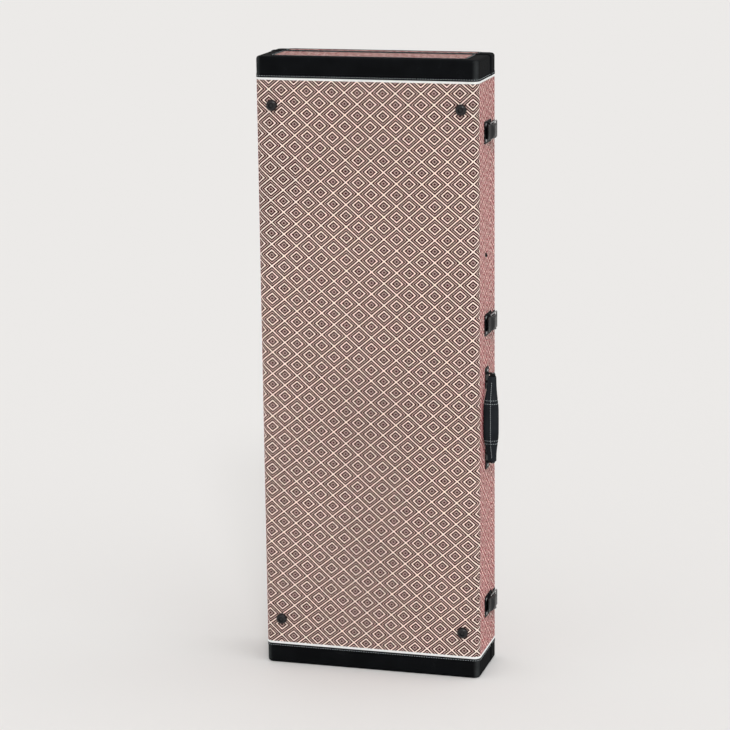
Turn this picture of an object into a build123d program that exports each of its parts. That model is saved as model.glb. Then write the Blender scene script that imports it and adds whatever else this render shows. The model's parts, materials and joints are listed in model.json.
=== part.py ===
"""Hardshell case for an electric guitar, standing on its lower end.

Lengths are in millimetres. +Z runs along the case, from the body end up to the headstock end. The broad back
with its four feet faces -Y, the lid faces +Y, the latches and the handle are on the +X wall and the lid's
hinges on the -X wall. The origin is the centre of the lower end face.
"""

from build123d import *
from math import cos, radians, sin
import os

os.makedirs("parts", exist_ok=True)

# Overall size
case_length = 1030.0
case_width = 371.0
base_depth = 88.5
lid_depth = 35.5
seam_gap = 1.0
long_edge_radius = 11.0
end_edge_radius = 5.0

# Shell layers, from the outside in
skin = 1.4
panel_thickness = 4.0
wall_thickness = 6.0
lining_thickness = 3.0
cavity_corner_radius = 4.0
soft_fit = 0.3

# Wraps, piping and end patches
wrap_height = 34.0
piping_width = 4.0
piping_proud = 1.0
patch_side_margin = 26.0
patch_back_margin = 20.0
patch_rim_margin = 9.0
patch_corner_radius = 4.0

# Lip that closes the seam from inside
lip_depth = 14.0
lip_rise = 4.0
lip_clearance = 0.6

# Rivets and screws
rivet_radius = 1.5
rivet_head_radius = 3.0
rivet_head_height = 1.2
rivet_tip_cover = 0.6
hole_clearance = 0.05

# Feet
foot_radius = 9.3
foot_height = 6.0
foot_edge_radius = 2.2
foot_side_distance = 28.0
foot_end_distance = 79.0
foot_recess_radius = 4.2
foot_recess_depth = 2.8
foot_screw_head_radius = 3.4
foot_screw_head_height = 1.6

# Butt hinges
hinge_end_distance = 150.0
hinge_height = 50.0
hinge_leaf_width = 23.0
hinge_leaf_thickness = 1.2
hinge_axis_offset = 3.7
hinge_knuckle_radius = 3.2
hinge_knuckle_count = 5
hinge_knuckle_gap = 0.3
hinge_pin_radius = 1.5
hinge_pin_overhang = 1.2
hinge_pin_head_radius = 2.4
hinge_rivet_spacing = 30.0
hinge_leaf_corner = 3.0

# Draw latches: u is measured across the seam towards the lid, h out from the wall
latch_low_distance = 112.0
latch_middle_share = 0.5757
latch_high_distance = 121.0
latch_plate_width = 36.0
latch_plate_length = 47.0
latch_plate_seam_distance = 2.5
latch_sheet = 1.2
latch_corner = 3.0
latch_pivot_u = -10.5
latch_pivot_h = 6.4
latch_pivot_radius = 1.6
latch_ear_inner = 9.0
latch_ear_radius = 3.2
latch_slot_reach = 2.5
latch_side_gap = 0.3
latch_nose_radius = 4.2
lever_hump_u = -17.0
lever_hump_h = 10.6
lever_slope_u = -25.0
lever_slope_h = 8.9
lever_dip_u = -38.0
lever_dip_h = 4.6
lever_tip_u = -47.0
lever_tip_h = 6.6
lever_flange_h = 2.2
lever_flange_end_u = -34.0
bail_wire_radius = 1.1
bail_bend_radius = 1.5
bail_pivot_u = -21.0
bail_pivot_h = 4.6
bail_bar_u = 14.0
bail_bar_h = 6.2
latch_rivet_u = -41.0
latch_rivet_spacing = 24.0
keeper_length = 22.0
keeper_width = 26.0
keeper_hook_width = 17.0
keeper_hook_clearance = 0.4
keeper_rivet_u = 19.5
keeper_rivet_spacing = 15.0

# Handle: s is measured from its hinge axis to the grip, t across the grip, z along the case
handle_height_share = 0.4233
handle_axis_depth = 55.0
handle_axis_offset = 10.5
handle_fold_angle = 7.0
handle_reach = 25.0
handle_grip_length = 84.0
handle_grip_width = 25.0
handle_grip_thickness = 20.0
handle_tab_width = 19.0
handle_tab_thickness = 7.0
handle_tab_reach = 10.0
handle_eye_distance = 68.0
handle_eye_length = 12.0
handle_eye_radius = 4.6
handle_core_width = 12.0
handle_core_thickness = 2.0
handle_pin_radius = 2.0
handle_pin_head_radius = 3.2
handle_pin_head_height = 1.2
bracket_sheet = 1.6
bracket_ear_gap = 0.2
bracket_ear_radius = 3.8
bracket_plate_width = 22.0
bracket_plate_overhang = 12.0
bracket_rivet_inset = 6.0

# Stud on the side wall
stud_height_share = 0.6883
stud_depth = 50.0
stud_radius = 3.6
stud_head_height = 2.6

# Guitar rest: heights are shares of the case's length, and half widths shares of its width
cushion_height = 52.0
cushion_edge_radius = 8.0
cushion_top_share = 0.4621
cushion_foot = 30.0
lower_bout_share = (0.4286, 0.1456)
waist_share = (0.3127, 0.267)
upper_bout_share = (0.3827, 0.3573)
heel_height_share = 0.4388
neck_half_width = 34.0
cradle_height_share = 0.5786
cradle_length = 74.0
cradle_rise = 44.0
cradle_notch_depth = 24.0
head_pad_length = 78.0
head_pad_rise = 40.0
lid_cushion_length_share = 0.3204
lid_cushion_side_margin = 50.5
lid_cushion_thickness = 12.0
lid_cushion_height_share = 0.2427

# Accessory box
box_width = 68.0
box_length_share = 0.2291
box_depth = 44.0
box_wall = 4.0
box_height_share = 0.699
box_lid_thickness = 5.0
box_lid_gap = 0.5
box_pin_radius = 1.5
box_pin_grip = 2.6
tab_width = 18.0
tab_length = 16.0
tab_thickness = 1.2

# Places worked out from the sizes above
case_depth = base_depth + seam_gap + lid_depth
y_back = -case_depth / 2
y_front = case_depth / 2
y_base_rim = y_back + base_depth
y_lid_rim = y_base_rim + seam_gap
y_seam = y_base_rim + seam_gap / 2
x_wall = case_width / 2
y_floor = y_back + skin + panel_thickness + lining_thickness
x_inside = x_wall - skin - wall_thickness - lining_thickness
z_inside = skin + wall_thickness + lining_thickness
x_hinge = -x_wall - hinge_axis_offset
x_handle = x_wall + handle_axis_offset
y_handle = y_back + handle_axis_depth
lever_half_width = latch_ear_inner + 2 * latch_sheet + latch_side_gap
bail_half_width = lever_half_width + latch_side_gap + bail_wire_radius
shank_length = skin + wall_thickness - rivet_tip_cover
hinge_heights = {
    "lower": hinge_end_distance,
    "middle": case_length / 2,
    "upper": case_length - hinge_end_distance,
}
latch_heights = {
    "lower": latch_low_distance,
    "middle": latch_middle_share * case_length,
    "upper": case_length - latch_high_distance,
}
handle_height = handle_height_share * case_length
stud_height = stud_height_share * case_length
box_height = box_height_share * case_length
box_length = box_length_share * case_length


def save(builder, name):
    """Labels a finished piece and writes it under its own name."""
    builder.part.label = name
    export_step(builder.part, f"parts/{name}.step")


def half_block(side_inset, face_inset, y_face, y_rim, long_radius=0.0, end_radius=0.0):
    """One half of the case, drawn in from its outside and cut flat at the seam."""
    inward = 1 if y_rim > y_face else -1
    y_start = y_face + inward * face_inset
    with BuildPart() as block:
        with BuildSketch(Plane.XY.offset(side_inset)) as section:
            with Locations((0, (y_start + y_rim) / 2)):
                Rectangle(case_width - 2 * side_inset, abs(y_rim - y_start))
            if long_radius > 0:
                fillet(section.vertices().group_by(Axis.Y)[0 if inward > 0 else -1], long_radius)
        extrude(amount=case_length - 2 * side_inset)
        if end_radius > 0:
            rims = block.faces().filter_by(Axis.Z).edges()
            fillet(rims.filter_by(lambda edge: abs(edge.center().Y - y_rim) > end_radius / 100), end_radius)
    return block.part


def shell_layers(y_face, y_rim):
    """The nested solids that the layers of one half are cut from."""
    inner_side = skin + wall_thickness
    inner_face = skin + panel_thickness
    lined_side = inner_side + lining_thickness
    lined_face = inner_face + lining_thickness
    return {
        "outside": half_block(0, 0, y_face, y_rim, long_edge_radius, end_edge_radius),
        "core": half_block(skin, skin, y_face, y_rim, long_edge_radius - skin, end_edge_radius - skin),
        "cavity": half_block(inner_side, inner_face, y_face, y_rim, cavity_corner_radius),
        "room": half_block(lined_side, lined_face, y_face, y_rim),
    }


def drill_wall(side, points, radius=rivet_radius + hole_clearance):
    """Bores round holes along X through everything that the current part has near one side wall."""
    reach = 2 * (wall_thickness + lining_thickness)
    with Locations(*[Location((side * x_wall, y, z), (0, 90, 0)) for y, z in points]):
        Cylinder(radius, 2 * reach, mode=Mode.SUBTRACT)


def drill_back(points, radius):
    """Bores round holes along Y through the back."""
    with Locations(*[Location((x, y_back, z), (90, 0, 0)) for x, z in points]):
        Cylinder(radius, 2 * (skin + panel_thickness) + foot_height, mode=Mode.SUBTRACT)


def slab(z_low, z_high):
    """Keeps only what lies between two heights."""
    with Locations((0, 0, (z_low + z_high) / 2)):
        Box(2 * case_width, 2 * case_depth, z_high - z_low, mode=Mode.INTERSECT)


def end_patch(y_face, y_rim):
    """Both end patches of one half as plain blocks, through the skin only."""
    inward = 1 if y_rim > y_face else -1
    y_low = y_face + inward * patch_back_margin
    if abs(y_rim - y_face) < base_depth / 2:
        y_low = y_face + inward * patch_rim_margin
    y_high = y_rim - inward * patch_rim_margin
    with BuildPart() as patch:
        for z_plane in (0, case_length - skin):
            with BuildSketch(Plane.XY.offset(z_plane)):
                with Locations((0, (y_low + y_high) / 2)):
                    RectangleRounded(
                        case_width - 2 * patch_side_margin,
                        abs(y_high - y_low),
                        patch_corner_radius,
                    )
            extrude(amount=skin)
    return patch.part


# Rivet positions as (y, z) on a side wall
latch_rivets = [
    (y_seam + latch_rivet_u, z + offset)
    for z in latch_heights.values()
    for offset in (-latch_rivet_spacing / 2, latch_rivet_spacing / 2)
]
keeper_rivets = [
    (y_seam + keeper_rivet_u, z + offset)
    for z in latch_heights.values()
    for offset in (-keeper_rivet_spacing / 2, keeper_rivet_spacing / 2)
]
bracket_inner_end = handle_eye_distance - handle_eye_length / 2 - bracket_plate_overhang
bracket_outer_end = handle_eye_distance + handle_eye_length / 2 + bracket_plate_overhang
bracket_rivets = [
    (y_handle, handle_height + direction * distance)
    for direction in (-1, 1)
    for distance in (bracket_inner_end + bracket_rivet_inset / 2, bracket_outer_end - bracket_rivet_inset)
]
hinge_rivet_u = (hinge_knuckle_radius + hinge_leaf_width) / 2
base_hinge_rivets = [
    (y_seam - hinge_rivet_u, z + offset)
    for z in hinge_heights.values()
    for offset in (-hinge_rivet_spacing / 2, hinge_rivet_spacing / 2)
]
lid_hinge_rivets = [(2 * y_seam - y, z) for y, z in base_hinge_rivets]
stud_point = [(y_back + stud_depth, stud_height)]
foot_points = [
    (x, z)
    for x in (-x_wall + foot_side_distance, x_wall - foot_side_distance)
    for z in (foot_end_distance, case_length - foot_end_distance)
]
base_right_holes = latch_rivets + bracket_rivets + stud_point
base_left_holes = base_hinge_rivets


# Base and lid shells: panel, boards, cover, wraps, end patches, piping and lining
def make_shell(half, y_face, y_rim, right_holes, left_holes, back_holes):
    """All the layered pieces of one half of the case."""
    inward = 1 if y_rim > y_face else -1
    layers = shell_layers(y_face, y_rim)
    panel_plane = Plane((0, y_face + inward * (skin + panel_thickness), 0), z_dir=(0, inward, 0))
    lining_stop = -lip_depth if half == "base" else seam_gap + lip_rise
    lining_plane = Plane((0, y_rim + lining_stop, 0), z_dir=(0, inward, 0))
    patches = end_patch(y_face, y_rim)
    band_low = wrap_height + piping_width
    band_high = case_length - wrap_height - piping_width

    with BuildPart() as panel:
        add(layers["core"])
        split(bisect_by=panel_plane, keep=Keep.BOTTOM)
        if back_holes:
            drill_back(back_holes, rivet_radius + hole_clearance)
    save(panel, f"{half}_panel")

    with BuildPart() as frame:
        add(layers["core"])
        split(bisect_by=panel_plane, keep=Keep.TOP)
        add(layers["cavity"], mode=Mode.SUBTRACT)
        drill_wall(1, right_holes)
        drill_wall(-1, left_holes)
    board_end = skin + wall_thickness
    for end, z_low, z_high in (
        ("bottom", 0, board_end),
        ("top", case_length - board_end, case_length),
    ):
        with BuildPart() as end_board:
            add(frame.part)
            slab(z_low, z_high)
        save(end_board, f"{half}_end_board_{end}")
    for side, keep in (("right", Keep.TOP), ("left", Keep.BOTTOM)):
        with BuildPart() as side_board:
            add(frame.part)
            slab(board_end, case_length - board_end)
            split(bisect_by=Plane.YZ, keep=keep)
        save(side_board, f"{half}_side_board_{side}")

    with BuildPart() as fabric:
        add(layers["outside"])
        add(layers["core"], mode=Mode.SUBTRACT)
        slab(band_low, band_high)
        drill_wall(1, right_holes)
        drill_wall(-1, left_holes)
        if back_holes:
            drill_back(back_holes, rivet_radius + hole_clearance)
    save(fabric, f"{half}_fabric")

    for end, z_low, z_high in (
        ("bottom", 0, wrap_height),
        ("top", case_length - wrap_height, case_length),
    ):
        with BuildPart() as wrap:
            add(layers["outside"])
            add(layers["core"], mode=Mode.SUBTRACT)
            slab(z_low, z_high)
            add(patches, mode=Mode.SUBTRACT)
        save(wrap, f"{half}_wrap_{end}")

    with BuildPart() as end_fabric:
        add(patches)
    save(end_fabric, f"{half}_end_fabric")

    with BuildPart() as piping:
        x_seat = x_wall - skin
        y_seat = y_face + inward * skin
        for z in (wrap_height + piping_width / 2, case_length - wrap_height - piping_width / 2):
            with BuildLine() as path:
                FilletPolyline(
                    (x_seat, y_rim, z),
                    (x_seat, y_seat, z),
                    (-x_seat, y_seat, z),
                    (-x_seat, y_rim, z),
                    radius=long_edge_radius - skin,
                )
            with BuildSketch(Plane((x_seat, y_rim, z), x_dir=(1, 0, 0), z_dir=(0, -inward, 0))) as bead:
                with Locations(((skin + piping_proud) / 2, 0)):
                    Rectangle(skin + piping_proud, piping_width)
                fillet(bead.vertices().group_by(Axis.X)[-1], piping_width * 0.4)
            sweep(path=path.wires()[0])
    save(piping, f"{half}_piping")

    with BuildPart() as lining:
        add(layers["cavity"])
        add(layers["room"], mode=Mode.SUBTRACT)
        split(bisect_by=lining_plane, keep=Keep.BOTTOM)
    save(lining, f"{half}_lining")


make_shell("base", y_back, y_base_rim, base_right_holes, base_left_holes, foot_points)
make_shell("lid", y_front, y_lid_rim, keeper_rivets, lid_hinge_rivets, [])

# Lip that stands up inside the seam
with BuildPart() as base_lip:
    for y_start, y_end, side in (
        (y_base_rim - lip_depth, y_base_rim, 0),
        (y_base_rim, y_base_rim + seam_gap + lip_rise, lip_clearance),
    ):
        outer = skin + wall_thickness + side
        inner = skin + wall_thickness + lining_thickness
        with BuildSketch(Plane((0, y_start, case_length / 2), x_dir=(1, 0, 0), z_dir=(0, -1, 0))):
            Rectangle(case_width - 2 * outer, case_length - 2 * outer)
            Rectangle(case_width - 2 * inner, case_length - 2 * inner, mode=Mode.SUBTRACT)
        extrude(amount=y_start - y_end)
save(base_lip, "base_lip")


# Fasteners
def rivet(head_radius, head_height, plate, shank):
    """A domed rivet along +Z whose head sits on a plate of the given thickness on the wall."""
    with BuildPart() as piece:
        with Locations((0, 0, plate)):
            Cylinder(head_radius, head_height, align=(Align.CENTER, Align.CENTER, Align.MIN))
        fillet(piece.edges().sort_by(Axis.Z)[-1], head_height * 0.8)
        with Locations((0, 0, plate)):
            Cylinder(rivet_radius, plate + shank, align=(Align.CENTER, Align.CENTER, Align.MAX))
    return piece.part


def wall_places(side, points):
    """Places on a side wall, turned so that local +Z points out of the wall."""
    return [Location((side * x_wall, y, z), (0, side * 90, 0)) for y, z in points]


latch_rivet = rivet(rivet_head_radius, rivet_head_height, latch_sheet, shank_length)
bracket_rivet = rivet(rivet_head_radius, rivet_head_height, bracket_sheet, shank_length)
hinge_rivet = rivet(rivet_head_radius, rivet_head_height, hinge_leaf_thickness, shank_length)
stud_rivet = rivet(stud_radius, stud_head_height, 0, shank_length)

with BuildPart() as base_rivets:
    for shape, side, points in (
        (latch_rivet, 1, latch_rivets),
        (bracket_rivet, 1, bracket_rivets),
        (hinge_rivet, -1, base_hinge_rivets),
    ):
        with Locations(*wall_places(side, points)):
            add(shape)
save(base_rivets, "base_rivets")

with BuildPart() as lid_rivets:
    for shape, side, points in ((latch_rivet, 1, keeper_rivets), (hinge_rivet, -1, lid_hinge_rivets)):
        with Locations(*wall_places(side, points)):
            add(shape)
save(lid_rivets, "lid_rivets")

with BuildPart() as side_stud:
    with Locations(*wall_places(1, stud_point)):
        add(stud_rivet)
save(side_stud, "side_stud")

# Feet and their screws on the back
with BuildPart() as foot:
    Cone(foot_radius, foot_radius - 1, foot_height, align=(Align.CENTER, Align.CENTER, Align.MIN))
    fillet(foot.edges().sort_by(Axis.Z)[-1], foot_edge_radius)
    with Locations((0, 0, foot_height)):
        CounterBoreHole(rivet_radius + hole_clearance, foot_recess_radius, foot_recess_depth)

with BuildPart() as foot_screw:
    with Locations((0, 0, foot_height - foot_recess_depth)):
        head_align = (Align.CENTER, Align.CENTER, Align.MIN)
        Cylinder(foot_screw_head_radius, foot_screw_head_height, align=head_align)
    fillet(foot_screw.edges().sort_by(Axis.Z)[-1], foot_screw_head_height / 2)
    with Locations((0, 0, foot_height - foot_recess_depth)):
        screw_length = foot_height - foot_recess_depth + skin + panel_thickness - rivet_tip_cover
        Cylinder(rivet_radius, screw_length, align=(Align.CENTER, Align.CENTER, Align.MAX))

foot_places = [Location((x, y_back, z), (90, 0, 0)) for x, z in foot_points]
with BuildPart() as feet:
    with Locations(*foot_places):
        add(foot.part)
save(feet, "feet")

with BuildPart() as foot_screws:
    with Locations(*foot_places):
        add(foot_screw.part)
save(foot_screws, "foot_screws")


# Butt hinges, drawn about their own pin with the wall on the +X side
def hinge_leaf(side, first):
    """One leaf: side -1 for the base and 1 for the lid; first is its lowest knuckle."""
    step = hinge_height / hinge_knuckle_count
    plate_start = hinge_knuckle_radius + hinge_knuckle_gap
    with BuildPart() as leaf:
        with BuildSketch(Plane.YZ.offset(hinge_axis_offset - hinge_leaf_thickness)) as plate:
            with Locations((side * (plate_start + hinge_leaf_width) / 2, 0)):
                Rectangle(hinge_leaf_width - plate_start, hinge_height)
            fillet(plate.vertices().group_by(Axis.Y)[-1 if side > 0 else 0], hinge_leaf_corner)
        extrude(amount=hinge_leaf_thickness)
        for index in range(first, hinge_knuckle_count, 2):
            z_start = index * step - hinge_height / 2 + hinge_knuckle_gap / 2
            with BuildSketch(Plane.XY.offset(z_start)):
                Circle(hinge_knuckle_radius)
                neck_x = hinge_axis_offset - hinge_leaf_thickness / 2
                with Locations((neck_x, side * (seam_gap + 2 * plate_start) / 4)):
                    Rectangle(hinge_leaf_thickness, plate_start - seam_gap / 2)
            extrude(amount=step - hinge_knuckle_gap)
        Cylinder(hinge_pin_radius + hole_clearance, hinge_height, mode=Mode.SUBTRACT)
        for z in (-hinge_rivet_spacing / 2, hinge_rivet_spacing / 2):
            with Locations(Location((hinge_axis_offset, side * hinge_rivet_u, z), (0, 90, 0))):
                Cylinder(rivet_radius + hole_clearance, 3 * hinge_leaf_thickness, mode=Mode.SUBTRACT)
    return leaf.part


base_leaf = hinge_leaf(-1, 0)
lid_leaf = hinge_leaf(1, 1)
with BuildPart() as hinge_pin:
    Cylinder(hinge_pin_radius, hinge_height + 2 * hinge_knuckle_gap)
    for z in (-1, 1):
        with Locations((0, 0, z * (hinge_height / 2 + hinge_knuckle_gap + hinge_pin_overhang / 2))):
            Cylinder(hinge_pin_head_radius, hinge_pin_overhang)

for place, z in hinge_heights.items():
    with BuildPart(Location((x_hinge, y_seam, z))) as base_leaf_placed:
        add(base_leaf)
    save(base_leaf_placed, f"hinge_base_leaf_{place}")
    with BuildPart(Location((x_hinge, y_seam, z))) as lid_leaf_placed:
        add(lid_leaf)
    save(lid_leaf_placed, f"hinge_lid_leaf_{place}")

with BuildPart() as hinge_pins:
    with Locations(*[(x_hinge, y_seam, z) for z in hinge_heights.values()]):
        add(hinge_pin.part)
save(hinge_pins, "hinge_pins")

# Draw latches, drawn with x = h, y = u and z along the case, about the seam line on the wall
plate_centre_u = -latch_plate_seam_distance - latch_plate_length / 2
with BuildPart() as latch_plate:
    with BuildSketch(Plane.YZ):
        with Locations((plate_centre_u, 0)):
            RectangleRounded(latch_plate_length, latch_plate_width, latch_corner)
    extrude(amount=latch_sheet)
    for z_start in (latch_ear_inner, -latch_ear_inner - latch_sheet):
        with BuildSketch(Plane.XY.offset(z_start)):
            with Locations((latch_pivot_h, latch_pivot_u)):
                Circle(latch_ear_radius)
            with Locations((latch_pivot_h / 2, latch_pivot_u)):
                Rectangle(latch_pivot_h, 2 * latch_ear_radius)
        extrude(amount=latch_sheet)
    with Locations((latch_pivot_h, latch_pivot_u, 0)):
        Cylinder(latch_pivot_radius + hole_clearance, 3 * latch_ear_inner, mode=Mode.SUBTRACT)
    for z in (-latch_rivet_spacing / 2, latch_rivet_spacing / 2):
        with Locations(Location((0, latch_rivet_u, z), (0, 90, 0))):
            Cylinder(rivet_radius + hole_clearance, 3 * latch_sheet, mode=Mode.SUBTRACT)

flange_inner = latch_ear_inner + latch_sheet + latch_side_gap
with BuildPart() as latch_pivots:
    for side in (-1, 1):
        with Locations((latch_pivot_h, latch_pivot_u, side * (latch_ear_inner + lever_half_width) / 2)):
            Cylinder(latch_pivot_radius, lever_half_width - latch_ear_inner)
        with Locations((latch_pivot_h, latch_pivot_u, side * (latch_ear_inner - latch_sheet / 2))):
            Cylinder(latch_pivot_radius * 1.7, latch_sheet)

nose_low = (
    latch_pivot_h - latch_nose_radius * sin(radians(35)),
    latch_pivot_u + latch_nose_radius * cos(radians(35)),
)
nose_front = (
    latch_pivot_h + latch_nose_radius * sin(radians(28)),
    latch_pivot_u + latch_nose_radius * cos(radians(28)),
)
nose_top = (latch_pivot_h + latch_nose_radius, latch_pivot_u)
with BuildPart() as latch_lever:
    with BuildSketch(Plane.XY.offset(-lever_half_width)):
        with BuildLine():
            ThreePointArc(nose_low, nose_front, nose_top)
            ThreePointArc(nose_top, (lever_hump_h, lever_hump_u), (lever_slope_h, lever_slope_u))
            ThreePointArc(
                (lever_slope_h, lever_slope_u), (lever_dip_h, lever_dip_u), (lever_tip_h, lever_tip_u)
            )
        trace(line_width=latch_sheet)
    extrude(amount=2 * lever_half_width)
    slot_width = latch_sheet + 2 * latch_side_gap
    for side in (-1, 1):
        slot_z = side * (latch_ear_inner + latch_sheet / 2)
        with Locations((latch_pivot_h, latch_pivot_u - latch_slot_reach, slot_z)):
            Box(
                4 * latch_nose_radius,
                4 * latch_nose_radius,
                slot_width,
                align=(Align.CENTER, Align.MIN, Align.CENTER),
                mode=Mode.SUBTRACT,
            )
    for z_start in (flange_inner, -lever_half_width):
        with BuildSketch(Plane.XY.offset(z_start)):
            with BuildLine():
                ThreePointArc(nose_low, nose_front, nose_top)
                ThreePointArc(nose_top, (lever_hump_h, lever_hump_u), (lever_slope_h, lever_slope_u))
                Polyline(
                    (lever_slope_h, lever_slope_u),
                    (lever_dip_h, lever_flange_end_u),
                    (lever_flange_h, lever_flange_end_u),
                    (lever_flange_h, latch_pivot_u),
                    nose_low,
                )
            make_face()
        extrude(amount=latch_sheet)
    with Locations((latch_pivot_h, latch_pivot_u, 0)):
        Cylinder(latch_pivot_radius + hole_clearance, 3 * lever_half_width, mode=Mode.SUBTRACT)
    with Locations((bail_pivot_h, bail_pivot_u, 0)):
        Cylinder(bail_wire_radius + hole_clearance, 3 * lever_half_width, mode=Mode.SUBTRACT)

pin_end = flange_inner - latch_side_gap
with BuildPart() as latch_bail:
    with BuildLine() as wire:
        FilletPolyline(
            (bail_pivot_h, bail_pivot_u, pin_end),
            (bail_pivot_h, bail_pivot_u, bail_half_width),
            (bail_bar_h, bail_bar_u, bail_half_width),
            (bail_bar_h, bail_bar_u, -bail_half_width),
            (bail_pivot_h, bail_pivot_u, -bail_half_width),
            (bail_pivot_h, bail_pivot_u, -pin_end),
            radius=bail_bend_radius,
        )
    with BuildSketch(Plane((bail_pivot_h, bail_pivot_u, pin_end), z_dir=(0, 0, 1))):
        Circle(bail_wire_radius)
    sweep(path=wire.wires()[0])

hook_top = bail_bar_h - bail_wire_radius - keeper_hook_clearance
hook_back = bail_bar_u - bail_wire_radius
with BuildPart() as latch_keeper:
    with BuildSketch(Plane.YZ):
        with Locations((latch_plate_seam_distance + keeper_length / 2, 0)):
            RectangleRounded(keeper_length, keeper_width, latch_corner)
    extrude(amount=latch_sheet)
    with BuildSketch(Plane.XY.offset(-keeper_hook_width / 2)):
        with BuildLine():
            Polyline(
                (latch_sheet, hook_back - 3 * latch_corner),
                (hook_top, hook_back - latch_corner),
                (hook_top, hook_back),
                (hook_top - latch_sheet, hook_back),
                (hook_top - latch_sheet, hook_back - latch_sheet),
                (latch_sheet, hook_back - latch_corner),
                close=True,
            )
        make_face()
    extrude(amount=keeper_hook_width)
    for z in (-keeper_rivet_spacing / 2, keeper_rivet_spacing / 2):
        with Locations(Location((0, keeper_rivet_u, z), (0, 90, 0))):
            Cylinder(rivet_radius + hole_clearance, 3 * latch_sheet, mode=Mode.SUBTRACT)

for place, z in latch_heights.items():
    for shape, name in (
        (latch_plate.part, "latch_plate"),
        (latch_lever.part, "latch_lever"),
        (latch_bail.part, "latch_bail"),
        (latch_keeper.part, "latch_keeper"),
    ):
        with BuildPart(Location((x_wall, y_seam, z))) as placed:
            add(shape)
        save(placed, f"{name}_{place}")

with BuildPart() as all_latch_pivots:
    with Locations(*[(x_wall, y_seam, z) for z in latch_heights.values()]):
        add(latch_pivots.part)
save(all_latch_pivots, "latch_pivots")

# Handle: brackets and pins on the wall, a steel core with rolled eyes, and the leather grip on it
fold = radians(handle_fold_angle)
grip_plane = Plane(
    (x_handle, y_handle, handle_height), x_dir=(sin(fold), -cos(fold), 0), z_dir=(cos(fold), sin(fold), 0)
)
ear_distance = handle_eye_length / 2 + bracket_ear_gap
for place, direction in (("lower", -1), ("upper", 1)):
    z_eye = handle_height + direction * handle_eye_distance
    with BuildPart() as bracket:
        plate_middle = handle_height + direction * (bracket_inner_end + bracket_outer_end) / 2
        with BuildSketch(Plane((x_wall, y_handle, plate_middle), x_dir=(0, 1, 0), z_dir=(1, 0, 0))):
            RectangleRounded(bracket_plate_width, bracket_outer_end - bracket_inner_end, latch_corner)
        extrude(amount=bracket_sheet)
        for z_start in (z_eye - ear_distance - bracket_sheet, z_eye + ear_distance):
            with BuildSketch(Plane((x_wall, y_handle, z_start), x_dir=(1, 0, 0), z_dir=(0, 0, 1))):
                with Locations((handle_axis_offset, 0)):
                    Circle(bracket_ear_radius)
                with Locations((bracket_sheet / 2, 0)):
                    Rectangle(bracket_sheet, bracket_plate_width / 2)
                make_hull()
            extrude(amount=bracket_sheet)
        with Locations((x_handle, y_handle, z_eye)):
            Cylinder(handle_pin_radius + hole_clearance, 3 * handle_eye_length, mode=Mode.SUBTRACT)
        drill_wall(1, bracket_rivets)
    save(bracket, f"handle_bracket_{place}")

with BuildPart() as handle_pins:
    for direction in (-1, 1):
        with Locations((x_handle, y_handle, handle_height + direction * handle_eye_distance)):
            Cylinder(handle_pin_radius, 2 * (ear_distance + bracket_sheet))
        for end in (-1, 1):
            head_distance = ear_distance + bracket_sheet + handle_pin_head_height / 2
            z_head = handle_height + direction * handle_eye_distance + end * head_distance
            with Locations((x_handle, y_handle, z_head)):
                Cylinder(handle_pin_head_radius, handle_pin_head_height)
save(handle_pins, "handle_pins")

core_start = handle_eye_radius - handle_core_thickness / 2
core_bend = handle_eye_distance - handle_core_thickness
core_end = handle_eye_distance + handle_eye_length / 2 - handle_core_thickness
core_shoulder = handle_grip_length / 2 - handle_core_thickness
with BuildPart() as handle_core:
    with BuildSketch(grip_plane.offset(-handle_core_width / 2)):
        with BuildLine():
            FilletPolyline(
                (core_start, core_end),
                (core_start, core_bend),
                (handle_reach, core_shoulder),
                (handle_reach, -core_shoulder),
                (core_start, -core_bend),
                (core_start, -core_end),
                radius=[handle_core_thickness * 2] + 2 * [handle_reach / 2] + [handle_core_thickness * 2],
            )
        trace(line_width=handle_core_thickness)
    extrude(amount=handle_core_width)
    for direction in (-1, 1):
        with Locations((x_handle, y_handle, handle_height + direction * handle_eye_distance)):
            Cylinder(handle_eye_radius, handle_eye_length)
            Cylinder(handle_pin_radius + hole_clearance, 2 * handle_eye_length, mode=Mode.SUBTRACT)
save(handle_core, "handle_core")

grip_end = handle_eye_distance - handle_tab_reach
slope = (handle_reach - core_start) / (core_bend - core_shoulder)
tab_end_reach = core_start + slope * (core_bend - grip_end)
grip_sections = [
    (grip_end, tab_end_reach, handle_tab_thickness * 0.72, handle_tab_width / 2),
    (handle_grip_length * 0.55, handle_reach * 0.8, handle_tab_thickness * 0.95, handle_tab_width / 2),
    (handle_grip_length * 0.4, handle_reach, handle_grip_thickness * 0.47, handle_grip_width * 0.48),
    (0, handle_reach, handle_grip_thickness / 2, handle_grip_width / 2),
]
with BuildPart() as handle_grip:
    mirrored = [(-z, s, half_s, half_t) for z, s, half_s, half_t in reversed(grip_sections[:-1])]
    for z, s, half_s, half_t in grip_sections + mirrored:
        centre = grip_plane.from_local_coords((s, -z, 0))
        with BuildSketch(Plane(centre, x_dir=grip_plane.x_dir, z_dir=(0, 0, 1))):
            Ellipse(half_s, half_t)
    loft()
    add(handle_core.part, mode=Mode.SUBTRACT)
save(handle_grip, "handle_grip")

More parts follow.
